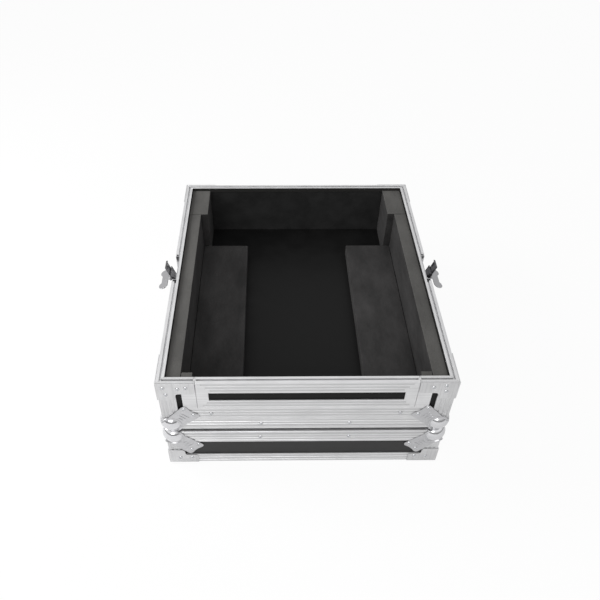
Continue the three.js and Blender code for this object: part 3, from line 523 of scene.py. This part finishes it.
def ear_work():
    """One ear, lying in z = 0 with the corner at the origin and its length along the diagonal. The
    bevelled plate joins an empty form before the ridges do, because whatever joins a bevelled form
    is ordered differently in each run."""
    s = sizes()
    half = s.ear_half_width
    start = half - EAR_FLARE
    points = [(EAR_START, -start), (s.ear_reach, -half), (s.ear_reach - EAR_DIP, 0), (s.ear_reach, half),
              (EAR_START, start)]
    plate = thicken(rounded_outline(points, (0, EAR_ROUND, EAR_DIP_ROUND, EAR_ROUND, 0)), s.ear_thickness)
    soften_rims(plate, EAR_LIP, s.ear_thickness)
    work = bmesh.new()
    join_into(work, plate)
    for place, half_ridge in RIDGES:
        ridge = turned(RIDGE_SHARES, RIDGE_STEPS)
        scale = Matrix.Diagonal((RIDGE_HALF_WIDTH, half_ridge, RIDGE_RISE, 1))
        join_into(work, ridge, Matrix.Translation((place, 0, s.ear_thickness)) @ scale)
    bmesh.ops.rotate(work, cent=(0, 0, 0), matrix=Matrix.Rotation(math.pi / 4, 3, "Z"), verts=work.verts)
    return work


def kept_beyond(work, point, normal):
    """Cuts a bmesh with a plane and keeps what lies on the normal's side, open at the cut."""
    geometry = list(work.verts) + list(work.edges) + list(work.faces)
    bmesh.ops.bisect_plane(work, geom=geometry, dist=WELD, plane_co=point, plane_no=normal,
                           clear_inner=True)


def collar_work():
    """A raised collar round the ball, on the face z = 0, mitred where it meets its neighbours."""
    s = sizes()
    top = s.ear_thickness + s.collar_rise
    floor = s.ear_thickness / 2
    rim = s.collar_radius
    profile = (
        (0, floor),
        (COLLAR_MOAT - COLLAR_EDGE / 2, floor),
        (COLLAR_MOAT, top - COLLAR_EDGE),
        (COLLAR_MOAT + COLLAR_EDGE, top),
        (rim - 1.5 * COLLAR_EDGE, top),
        (rim - COLLAR_EDGE / 2, top - COLLAR_EDGE / 2),
        (rim, top - 1.5 * COLLAR_EDGE),
        (rim, 0),
        (0, 0),
    )
    work = turned(profile, COLLAR_STEPS)
    bmesh.ops.translate(work, vec=(s.ball_inset, s.ball_inset, 0), verts=work.verts)
    mitre = -s.ear_gap
    kept_beyond(work, (mitre, 0, 0), (1, 0, 1))
    kept_beyond(work, (0, mitre, 0), (0, 1, 1))
    return work


def on_three_faces(make):
    """Makes a form for the face z = 0 and repeats it on all three faces of the corner."""
    outward = Matrix(((1, 0, 0, 0), (0, 1, 0, 0), (0, 0, -1, -sizes().ear_gap), (0, 0, 0, 1)))
    swap = Matrix(((0, 1, 0, 0), (0, 0, 1, 0), (1, 0, 0, 0), (0, 0, 0, 1)))
    whole = bmesh.new()
    place = outward
    for _ in range(3):
        join_into(whole, make(), place)
        place = swap @ place
    return whole


def folded_collar():
    """The three collars as one skin, folded over the case's edges and cut off round the ball."""
    work = on_three_faces(collar_work)
    bmesh.ops.remove_doubles(work, verts=work.verts, dist=TOUCHING)
    kept_beyond(work, (BALL_SLICE, 0, 0), (1, 1, 1))
    bmesh.ops.bridge_loops(work, edges=[edge for edge in work.edges if edge.is_boundary])
    fold = ear_face() + sizes().collar_rise
    folds = [edge for edge in work.edges
             if all(sum(abs(place + fold) < TOUCHING for place in v.co) >= 2 for v in edge.verts)]
    bmesh.ops.bevel(work, geom=folds, offset=COLLAR_FOLD, segments=4, profile=0.5,
                    affect="EDGES", material=-1)
    return work


def ball_corner_work():
    """A ball corner in a corner whose three faces are x, y and z = 0, with the case beyond them.
    Below z = 0, where the tray and the lid meet, it is pressed flatter."""
    s = sizes()
    around, rows = BALL_STEPS
    tilts = [math.pi * row / rows for row in range(1, rows)]
    ball = turned([(0, -1)] + [(math.sin(tilt), -math.cos(tilt)) for tilt in tilts] + [(0, 1)], around)
    centre = Matrix.Translation(Vector((1, 1, 1)) * s.ball_inset)
    bmesh.ops.transform(ball, matrix=centre @ Matrix.Scale(s.ball_radius, 4), verts=ball.verts)
    case = cut_away(box_work([-s.ear_gap] * 3, [CAP_FAR] * 3),
                    box_work([-CUT_OVERRUN] * 3, [CORNER_CUT] * 3))
    work = cut_away(ball, case)
    mark = work.faces.layers.float.new("drawn")
    for face in work.faces:
        face[mark] = 1.0
    join_into(work, on_three_faces(ear_work))
    join_into(work, folded_collar())
    flattened = [vertex for vertex in work.verts if vertex.co.z < 0]
    press = s.stacking_rise / (s.ball_radius - s.ball_inset)
    bmesh.ops.scale(work, vec=(1, 1, press), verts=flattened)
    return work


class FLIGHTCASE_OT_ball_corners(bpy.types.Operator):
    """Sets a pressed ball corner on each outer corner of the tray and the lid"""
    bl_idname = "flightcase.ball_corners"
    bl_label = "Ball corners"

    def execute(self, context):
        shape = ball_corner_work()
        tray_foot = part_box("tray_front_bottom_edge")[0].z
        lid_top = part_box("lid_front_top_edge")[1].z
        for part, base, up in (("tray", tray_foot, 1), ("lid", lid_top, -1)):
            for end, along in (("front", 1), ("rear", -1)):
                for side, across in (("left", 1), ("right", -1)):
                    place = Matrix.Translation((-across * HALF_X, -along * HALF_Y, base))
                    work = bmesh.new()
                    join_into(work, shape.copy(), place @ Matrix.Diagonal((across, along, up, 1)))
                    node = f"{part}_{end}_{side}_ball_corner"
                    piece = start_piece(f"{node}_pressing", work, "zinc-plated pressed steel", part)
                    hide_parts(node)
        shape.free()
        return {"FINISHED"}


# Foam

FOAM_GRID = 9 * MM
LEVEL_SLACK = 0.1 * MM
SLOW_WAVE = 70 * MM
QUICK_WAVE = 16 * MM
MEAN_SHARE = 0.9
SLOW_SHARE = 0.7
QUICK_SHARE = 0.35
FOAM_PIECES = [
    f"{side}_{name}_foam"
    for side in ("left", "right")
    for name in ("side_liner", "platform", "front_strip", "rear_corner_block")
]


def gridded(work, spacing):
    """Cuts a blocky bmesh with evenly spaced planes along all three axes."""
    corners = [vertex.co.copy() for vertex in work.verts]
    for axis in range(3):
        low = min(corner[axis] for corner in corners)
        high = max(corner[axis] for corner in corners)
        count = max(1, round((high - low) / spacing))
        for step in range(1, count):
            place = Vector((0, 0, 0))
            place[axis] = low + (high - low) * step / count
            normal = Vector((0, 0, 0))
            normal[axis] = 1
            geometry = list(work.verts) + list(work.edges) + list(work.faces)
            bmesh.ops.bisect_plane(work, geom=geometry, dist=TOUCHING, plane_co=place, plane_no=normal)


def knife_waves(work, sway, seed):
    """Draws each face of a foam block back a little, unevenly, as a long knife leaves it."""
    work.normal_update()
    drawn = {}
    for vertex in work.verts:
        place = vertex.co + Vector((seed, 0, 0))
        slow = noise.noise(place / SLOW_WAVE)
        quick = noise.noise(place / QUICK_WAVE)
        drawn[vertex] = vertex.normal * (-sway * (MEAN_SHARE + SLOW_SHARE * slow + QUICK_SHARE * quick))
    for vertex, shift in drawn.items():
        vertex.co += shift


def foam_block(node, name, body, seed):
    """A foam block with its soft edges. Tops level with the liners' are marked as cut."""
    work = merged_copy(node)
    gridded(work, FOAM_GRID)
    mark = work.faces.layers.float.new("cut")
    liner_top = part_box("left_side_liner_foam")[1].z
    for face in work.faces:
        face[mark] = float(face.calc_center_median().z > liner_top - LEVEL_SLACK)
    knife_waves(work, sizes().foam_sway, seed)
    piece = start_piece(name, work, "cut charcoal foam", body)
    bevelled(piece, sizes().foam_round, segments=3, angle=40, flat=False)
    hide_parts(node)


class FLIGHTCASE_OT_foam(bpy.types.Operator):
    """Cuts the foam blocks that line the tray and the pad in the lid"""
    bl_idname = "flightcase.foam"
    bl_label = "Foam"

    def execute(self, context):
        for count, node in enumerate(FOAM_PIECES):
            foam_block(node, node.replace("_foam", "_cut_foam"), "tray", count)
        foam_block("lid_foam_pad", "lid_cut_foam_pad", "lid", len(FOAM_PIECES))
        return {"FINISHED"}


# Soft-edged metalwork

SHEET_SOFTNESS = 0.35 * MM
PRESSED_SOFTNESS = 0.3 * MM
RIM_SOFTNESS = 0.55 * MM
EDGE_SOFTNESS = 0.35 * MM
RIB_DEPTH = 0.6 * MM
RIB_SLACK = 0.15 * MM
RING_WIDTH = 33 * MM
GRAIN_STRETCH = 0.012
SQUARE_ON = 0.99
RIB_ANGLE = 60
SHEET_ANGLE = 28
SHEET_NODES = [
    f"{part}_{end}_{side}_corner_post"
    for part in ("tray", "lid") for end in ("front", "rear") for side in ("left", "right")
]
PRESSED_NODES = [
    "left_latch_dish", "left_latch_wing", "right_latch_dish", "right_latch_wing", "lid_left_latch_keeper",
    "lid_right_latch_keeper", "rear_handle_dish", "rear_handle_bail",
]
ARM_NODES = [f"{side}_latch_{name}" for side in ("left", "right") for name in ("arm", "claw", "spindle")]
RIBBED_NODES = [
    node for node, slot_name in SLOT_OF.items() if slot_name == "ribbed_aluminium"
] + ["front_panel_frame"]
TRAY_RIMS = [node for node in RIBBED_NODES if node.startswith("tray") and node.endswith("_rim")]
EDGE_NODES = [node for node in RIBBED_NODES if node.endswith(("_bottom_edge", "_top_edge"))]


def mark_grain(work, node):
    """Notes on each face how a pattern is stretched, so that die lines run along the piece. The
    lid's rim is a ring, whose front and rear bars run across."""
    low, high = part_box(node)
    spans = list(high - low)
    run = spans.index(max(spans))
    mark = work.faces.layers.float_vector.new("grain")
    for face in work.faces:
        if node == "lid_rim":
            run = 0 if HALF_Y - abs(face.calc_center_median().y) < RING_WIDTH else 1
        face[mark] = [GRAIN_STRETCH if axis == run else 1 for axis in range(3)]


def finished_copy(node, work, material, softness, angle):
    """A softened copy of a CAD node, which rides on the node's body and stands for it."""
    mark_grain(work, node)
    piece = start_piece(f"{node}_finished", work, material, BODY_OF[node])
    bevelled(piece, softness, segments=2, angle=angle)
    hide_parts(node)


def mark_grooves(work, node):
    """Marks the faces that lie a rib's depth below the faces of an extrusion: the groove floors that the
    finish colours darker, as painted shade.
    """
    low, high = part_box(node)
    mark = work.faces.layers.float.new("groove")
    work.normal_update()
    for face in work.faces:
        centre = face.calc_center_median()
        for axis in range(3):
            turn = face.normal[axis]
            depth = high[axis] - centre[axis] if turn > 0 else centre[axis] - low[axis]
            if abs(turn) > SQUARE_ON and abs(depth - RIB_DEPTH) < RIB_SLACK:
                face[mark] = 1.0


def mark_shaded_inner_leg(work, node):
    """Marks the faces of a rim that look into the case, which the finish colours dark grey as painted
    shade.
    """
    low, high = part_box(node)
    wall = 1 if high.x - low.x > high.y - low.y else 0
    inward = -1 if low[wall] > 0 else 1
    inner = low[wall] if inward < 0 else high[wall]
    mark = work.faces.layers.float.new("painted_inner_shade")
    for face in work.faces:
        looks_in = face.normal[wall] * inward > SQUARE_ON
        face[mark] = float(looks_in and abs(face.calc_center_median()[wall] - inner) < RIB_SLACK)


def round_outer_corner(work, node):
    """Rounds the outer corner of an edge angle, where its two legs meet."""
    low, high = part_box(node)
    level = high.z if node.startswith("lid") else low.z
    wall = 1 if high.x - low.x > high.y - low.y else 0
    face = max(low[wall], high[wall], key=abs)
    reach = RIB_DEPTH + RIB_SLACK
    for vertex in work.verts:
        if abs(vertex.co[wall] - face) < reach and abs(vertex.co.z - level) < reach:
            vertex.co[wall] = face
            vertex.co.z = level
    bmesh.ops.remove_doubles(work, verts=work.verts, dist=TOUCHING)
    corner = [edge for edge in work.edges
              if all(v.co[wall] == face and v.co.z == level for v in edge.verts)]
    bmesh.ops.bevel(work, geom=corner, offset=sizes().edge_round, segments=4, profile=0.5,
                    affect="EDGES", material=-1)


class FLIGHTCASE_OT_metalwork(bpy.types.Operator):
    """Rounds the edges of the extrusions and of the bent and pressed metalwork"""
    bl_idname = "flightcase.metalwork"
    bl_label = "Metalwork"

    def execute(self, context):
        for node in RIBBED_NODES:
            work = merged_copy(node)
            mark_grooves(work, node)
            if node in TRAY_RIMS:
                mark_shaded_inner_leg(work, node)
            if node in EDGE_NODES:
                round_outer_corner(work, node)
            softness = RIM_SOFTNESS if node.endswith("_rim") else EDGE_SOFTNESS
            finished_copy(node, work, "satin anodised extrusion", softness, RIB_ANGLE)
        for node in SHEET_NODES:
            finished_copy(node, merged_copy(node), "sheet aluminium", SHEET_SOFTNESS, SHEET_ANGLE)
        for node in PRESSED_NODES:
            finished_copy(node, merged_copy(node), "bright zinc of the latches", PRESSED_SOFTNESS,
                          SHEET_ANGLE)
        for node in ARM_NODES:
            finished_copy(node, merged_copy(node), "latch arm steel with painted pocket shade", PRESSED_SOFTNESS,
                          SHEET_ANGLE)
        return {"FINISHED"}


# Rivets

# Places are in millimetres. Those of the braces, the ears and the stub count from the nearer end of
# a wall, the others from its middle. A second number is a height from the foot or a drop from the top.

WALLS = {"front": 0, "right": 90, "rear": 180, "left": 270}
BRACE_FACE = 1.6 * MM
TRAY_EAR_RIVETS = ((53.5, 42.0), (38.6, 57.5))
LID_EAR_RIVETS = ((55.5, 36.0), (42.0, 52.0))
LEFT_BRACE_RIVETS = ((10.1, 11.2), (13.6, 27.9), (33.9, 13.9), (47.2, 11.5))
RIGHT_BRACE_RIVETS = ((19.4, 8.5), (17.7, 22.7), (39.5, 12.4))
STUB_RIVET = (56.4, 9.0)
BAR_RIVET = (160, 44.4)
TRAY_EDGE_RIVETS = {"front": (76,), "right": (76, 195), "rear": (76,), "left": (76, 195)}
TRAY_RIM_RIVETS = {"front": (), "right": (60, 150), "rear": (76, 165), "left": (60, 150)}
LID_BRACE_RIVETS = ((19.4, 14.5), (40.6, 16.0))
LID_EDGE_RIVETS = {"front": (78,), "right": (78, 195), "rear": (78,), "left": (78, 195)}
RIVET_SHARES = (
    (0, -0.2), (1, -0.2), (1, 0.25), (0.87, 0.7), (0.63, 0.94), (0.5, 1), (0.36, 0.2), (0, 0.1),
)
RIVET_STEPS = 16


def wall_place(wall, along, height, out):
    """The matrix of a rivet on a wall: along it from its middle, at a height, proud of its face."""
    turn = Matrix.Rotation(math.radians(WALLS[wall]), 4, "Z")
    reach = HALF_Y if wall in ("front", "rear") else HALF_X
    stand = Matrix.Rotation(math.pi / 2, 4, "X")
    return turn @ Matrix.Translation((along, -reach - out, height)) @ stand


def half_length(wall):
    return HALF_X if wall in ("front", "rear") else HALF_Y


def tray_rivets():
    """Matrices of all the rivets of the tray."""
    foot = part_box("tray_front_bottom_edge")[0].z
    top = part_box("tray_rear_rim")[1].z
    edge_middle = (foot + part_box("tray_front_bottom_edge")[1].z) / 2
    rim_middle = (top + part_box("tray_rear_rim")[0].z) / 2
    places = []
    for wall in WALLS:
        half = half_length(wall)
        for side in (-1, 1):
            for along, drop in LEFT_BRACE_RIVETS if side < 0 else RIGHT_BRACE_RIVETS:
                places.append(wall_place(wall, side * (half - along * MM), top - drop * MM, BRACE_FACE))
            for along, height in TRAY_EAR_RIVETS:
                places.append(wall_place(wall, side * (half - along * MM), foot + height * MM, ear_face()))
            for along in TRAY_EDGE_RIVETS[wall]:
                places.append(wall_place(wall, side * along * MM, edge_middle, 0))
            for along in TRAY_RIM_RIVETS[wall]:
                places.append(wall_place(wall, side * along * MM, rim_middle, 0))
            if wall == "front":
                along, drop = STUB_RIVET
                places.append(wall_place(wall, side * (half - along * MM), top - drop * MM, 0))
                along, height = BAR_RIVET
                places.append(wall_place(wall, side * along * MM, foot + height * MM, 0))
    return places


def lid_rivets():
    """Matrices of all the rivets of the lid."""
    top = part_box("lid_front_top_edge")[1].z
    edge_middle = (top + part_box("lid_front_top_edge")[0].z) / 2
    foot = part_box("lid_front_left_corner_post")[0].z
    places = []
    for wall in WALLS:
        half = half_length(wall)
        for side in (-1, 1):
            for along, rise in LID_BRACE_RIVETS:
                places.append(wall_place(wall, side * (half - along * MM), foot + rise * MM, BRACE_FACE))
            for along, drop in LID_EAR_RIVETS:
                places.append(wall_place(wall, side * (half - along * MM), top - drop * MM, ear_face()))
            for along in LID_EDGE_RIVETS[wall]:
                places.append(wall_place(wall, side * along * MM, edge_middle, 0))
    return places


def rivet_set(name, body, places):
    """All the rivets of one body as one piece. Each has a hollow shank, which shows as a dimple."""
    s = sizes()
    profile = [(s.rivet_radius * out, s.rivet_rise * up) for out, up in RIVET_SHARES]
    work = bmesh.new()
    for place in places:
        join_into(work, turned(profile, RIVET_STEPS), place)
    start_piece(name, work, "nickel-plated rivets", body)


class FLIGHTCASE_OT_rivets(bpy.types.Operator):
    """Sets the rivets that hold the aluminium to the boards"""
    bl_idname = "flightcase.rivets"
    bl_label = "Rivets"

    def execute(self, context):
        rivet_set("tray_rivets", "tray", tray_rivets())
        rivet_set("lid_rivets", "lid", lid_rivets())
        return {"FINISHED"}


# Finishes and stage

SKY_LIGHT = 0.5
SKY_LOW = 0.12
SKY_HIGH = 1.0
SKY_TOP = 0.6
FLOOR_IN_VIEW = 0.94
FLOOR_IN_METAL = 0.45
FLOOR_HALF = 8
LAMP_AIM = (0, 0, 0.15)
CLIP_NEAR = 0.01

MATT_BOARDS = ("tray_floor_panel", "tray_front_panel", "front_panel_board")
SLOT_MATERIALS = {
    "ribbed_aluminium": "satin anodised extrusion",
    "smooth_aluminium": "sheet aluminium",
    "plated_steel": "zinc-plated pressed steel",
    "black_laminate": "black laminate on ply",
    "charcoal_foam": "cut charcoal foam",
}


class FLIGHTCASE_OT_finishes(bpy.types.Operator):
    """Makes the finishes and gives each part of the frame its own"""
    bl_idname = "flightcase.finishes"
    bl_label = "Finishes"

    def execute(self, context):
        c = colours()
        aluminium("satin anodised extrusion", c.ribbed, streak=1.6 * MM, roughness=0.45, painted_groove_shade=0.8)
        aluminium("sheet aluminium", c.smooth, streak=1.6 * MM, roughness=0.38)
        plated_steel("zinc-plated pressed steel", c.plated, smooth=0.26, dull=0.34)
        plated_steel("bright zinc of the latches", c.plated, smooth=0.1, dull=0.16)
        # Painted shade: a darker grey of the plated finish for the latch arms, standing in for the shade
        # of the dish pockets.
        plated_steel("latch arm steel with painted pocket shade", c.arm_shade, smooth=0.12, dull=0.2)
        plated_steel("nickel-plated rivets", c.rivet, smooth=0.2, dull=0.28)
        laminate("black laminate on ply", c.laminate, gloss=0.35)
        laminate("matt black backing sheet", c.backing, gloss=0.12)
        foam("cut charcoal foam", c.foam, c.cut_foam)
        for node, made in NODES.items():
            made.data.materials.clear()
            finish = "matt black backing sheet" if node in MATT_BOARDS else SLOT_MATERIALS[SLOT_OF[node]]
            made.data.materials.append(bpy.data.materials[finish])
        return {"FINISHED"}


def studio_floor():
    """A pale floor that keeps a soft shadow. To the camera it is nearly white, and metal mirrors it
    about half as bright."""
    tree = start_material("pale studio floor")
    path = add_node(tree, "ShaderNodeLightPath")
    mirrored = add_node(tree, "ShaderNodeMath", {"operation": "MULTIPLY"},
                        i0=path.outputs["Is Glossy Ray"], i1=FLOOR_IN_METAL)
    share = add_node(tree, "ShaderNodeMath", {"operation": "MULTIPLY_ADD"},
                     i0=path.outputs["Is Camera Ray"], i1=FLOOR_IN_VIEW, i2=mirrored.outputs[0])
    matt = add_node(tree, "ShaderNodeBsdfDiffuse", None, Color=linear(colours().floor))
    glow = add_node(tree, "ShaderNodeEmission", None, Color=linear("#FFFFFF"))
    mixed = add_node(tree, "ShaderNodeMixShader", None, i0=share.outputs[0], i1=matt.outputs[0],
                     i2=glow.outputs[0])
    finish_material(tree, mixed)
    work = bmesh.new()
    bmesh.ops.create_grid(work, x_segments=1, y_segments=1, size=FLOOR_HALF)
    mesh = bpy.data.meshes.new("studio_floor")
    work.to_mesh(mesh)
    work.free()
    floor = bpy.data.objects.new("studio_floor", mesh)
    bpy.context.scene.collection.objects.link(floor)
    mesh.materials.append(bpy.data.materials["pale studio floor"])


def studio_world():
    """White to the camera, a softer grey as light, and to mirrors a sky that brightens upwards."""
    world = bpy.data.worlds.new("studio")
    world.use_nodes = True
    bpy.context.scene.world = world
    tree = world.node_tree
    tree.nodes.clear()
    path = add_node(tree, "ShaderNodeLightPath")
    direction = add_node(tree, "ShaderNodeTexCoord")
    height = add_node(tree, "ShaderNodeSeparateXYZ", None, Vector=direction.outputs["Generated"])
    mirrored = ranged(tree, height.outputs["Z"], SKY_LOW, SKY_HIGH, 0.0, SKY_TOP)
    more = add_node(tree, "ShaderNodeMath", {"operation": "SUBTRACT"}, i0=mirrored, i1=SKY_LIGHT)
    lit = add_node(tree, "ShaderNodeMath", {"operation": "MULTIPLY_ADD"}, i0=more.outputs[0],
                   i1=path.outputs["Is Glossy Ray"], i2=SKY_LIGHT)
    strength = add_node(tree, "ShaderNodeMath", {"operation": "MAXIMUM"}, i0=lit.outputs[0],
                        i1=path.outputs["Is Camera Ray"])
    glow = add_node(tree, "ShaderNodeBackground", None, Color=linear("#FFFFFF"),
                    Strength=strength.outputs[0])
    add_node(tree, "ShaderNodeOutputWorld", None, Surface=glow.outputs[0])


def soft_lamp(name, place, size, power):
    """A square lamp that shines on the case from one side."""
    lamp = bpy.data.lights.new(name, "AREA")
    lamp.shape = "SQUARE"
    lamp.size = size
    lamp.energy = power
    made = bpy.data.objects.new(name, lamp)
    made.location = place
    made.rotation_euler = (Vector(LAMP_AIM) - Vector(place)).to_track_quat("-Z", "Y").to_euler()
    bpy.context.scene.collection.objects.link(made)


def photo_camera():
    """A camera that stands where the picture was taken."""
    settings = bpy.context.scene.case_camera
    data = bpy.data.cameras.new("camera")
    data.sensor_width = SENSOR_MM
    data.lens = settings.focal_pixels * SENSOR_MM / FRAME_PIXELS
    data.shift_x = (FRAME_PIXELS / 2 - settings.centre_x) / FRAME_PIXELS
    data.shift_y = (settings.centre_y - FRAME_PIXELS / 2) / FRAME_PIXELS
    data.clip_start = CLIP_NEAR
    camera = bpy.data.objects.new("camera", data)
    look = Matrix.Rotation(-settings.turn, 4, "Z") @ Matrix.Rotation(math.pi / 2 - settings.tip, 4, "X")
    roll = Matrix.Rotation(settings.roll, 4, "Z")
    camera.matrix_world = Matrix.Translation(settings.place) @ look @ roll
    bpy.context.scene.collection.objects.link(camera)
    bpy.context.scene.camera = camera


class FLIGHTCASE_OT_studio(bpy.types.Operator):
    """Lays the floor, hangs the lamps and stands the camera"""
    bl_idname = "flightcase.studio"
    bl_label = "Studio"

    def execute(self, context):
        context.scene.view_settings.view_transform = "Standard"
        studio_floor()
        studio_world()
        soft_lamp("front lamp", place=(-0.5, -1.95, 1.3), size=1.2, power=17)
        soft_lamp("side lamp", place=(-1.5, 0.15, 1.05), size=0.7, power=19)
        photo_camera()
        return {"FINISHED"}


STEPS = ("finishes", "metalwork", "ball_corners", "foam", "rivets", "studio")


class FLIGHTCASE_PT_panel(bpy.types.Panel):
    """Sizes, colours and steps of the flight case"""
    bl_idname = "FLIGHTCASE_PT_panel"
    bl_label = "Flight case"
    bl_space_type = "VIEW_3D"
    bl_region_type = "UI"
    bl_category = "Flight Case"

    def draw(self, context):
        for group in (context.scene.case_sizes, context.scene.case_colours, context.scene.case_camera):
            box = self.layout.box()
            for name in group.__annotations__:
                box.prop(group, name)
        for step in STEPS:
            self.layout.operator(f"flightcase.{step}")


CLASSES = (
    CaseSizes, CaseColours, CameraSettings, FLIGHTCASE_OT_finishes, FLIGHTCASE_OT_metalwork,
    FLIGHTCASE_OT_ball_corners, FLIGHTCASE_OT_foam, FLIGHTCASE_OT_rivets, FLIGHTCASE_OT_studio,
    FLIGHTCASE_PT_panel,
)


def register():
    for made in CLASSES:
        bpy.utils.register_class(made)
    bpy.types.Scene.case_sizes = bpy.props.PointerProperty(type=CaseSizes)
    bpy.types.Scene.case_colours = bpy.props.PointerProperty(type=CaseColours)
    bpy.types.Scene.case_camera = bpy.props.PointerProperty(type=CameraSettings)


def unregister():
    del bpy.types.Scene.case_camera
    del bpy.types.Scene.case_colours
    del bpy.types.Scene.case_sizes
    for made in reversed(CLASSES):
        bpy.utils.unregister_class(made)


def main():
    register()
    for step in STEPS:
        getattr(bpy.ops.flightcase, step)()


if __name__ == "__main__":
    main()
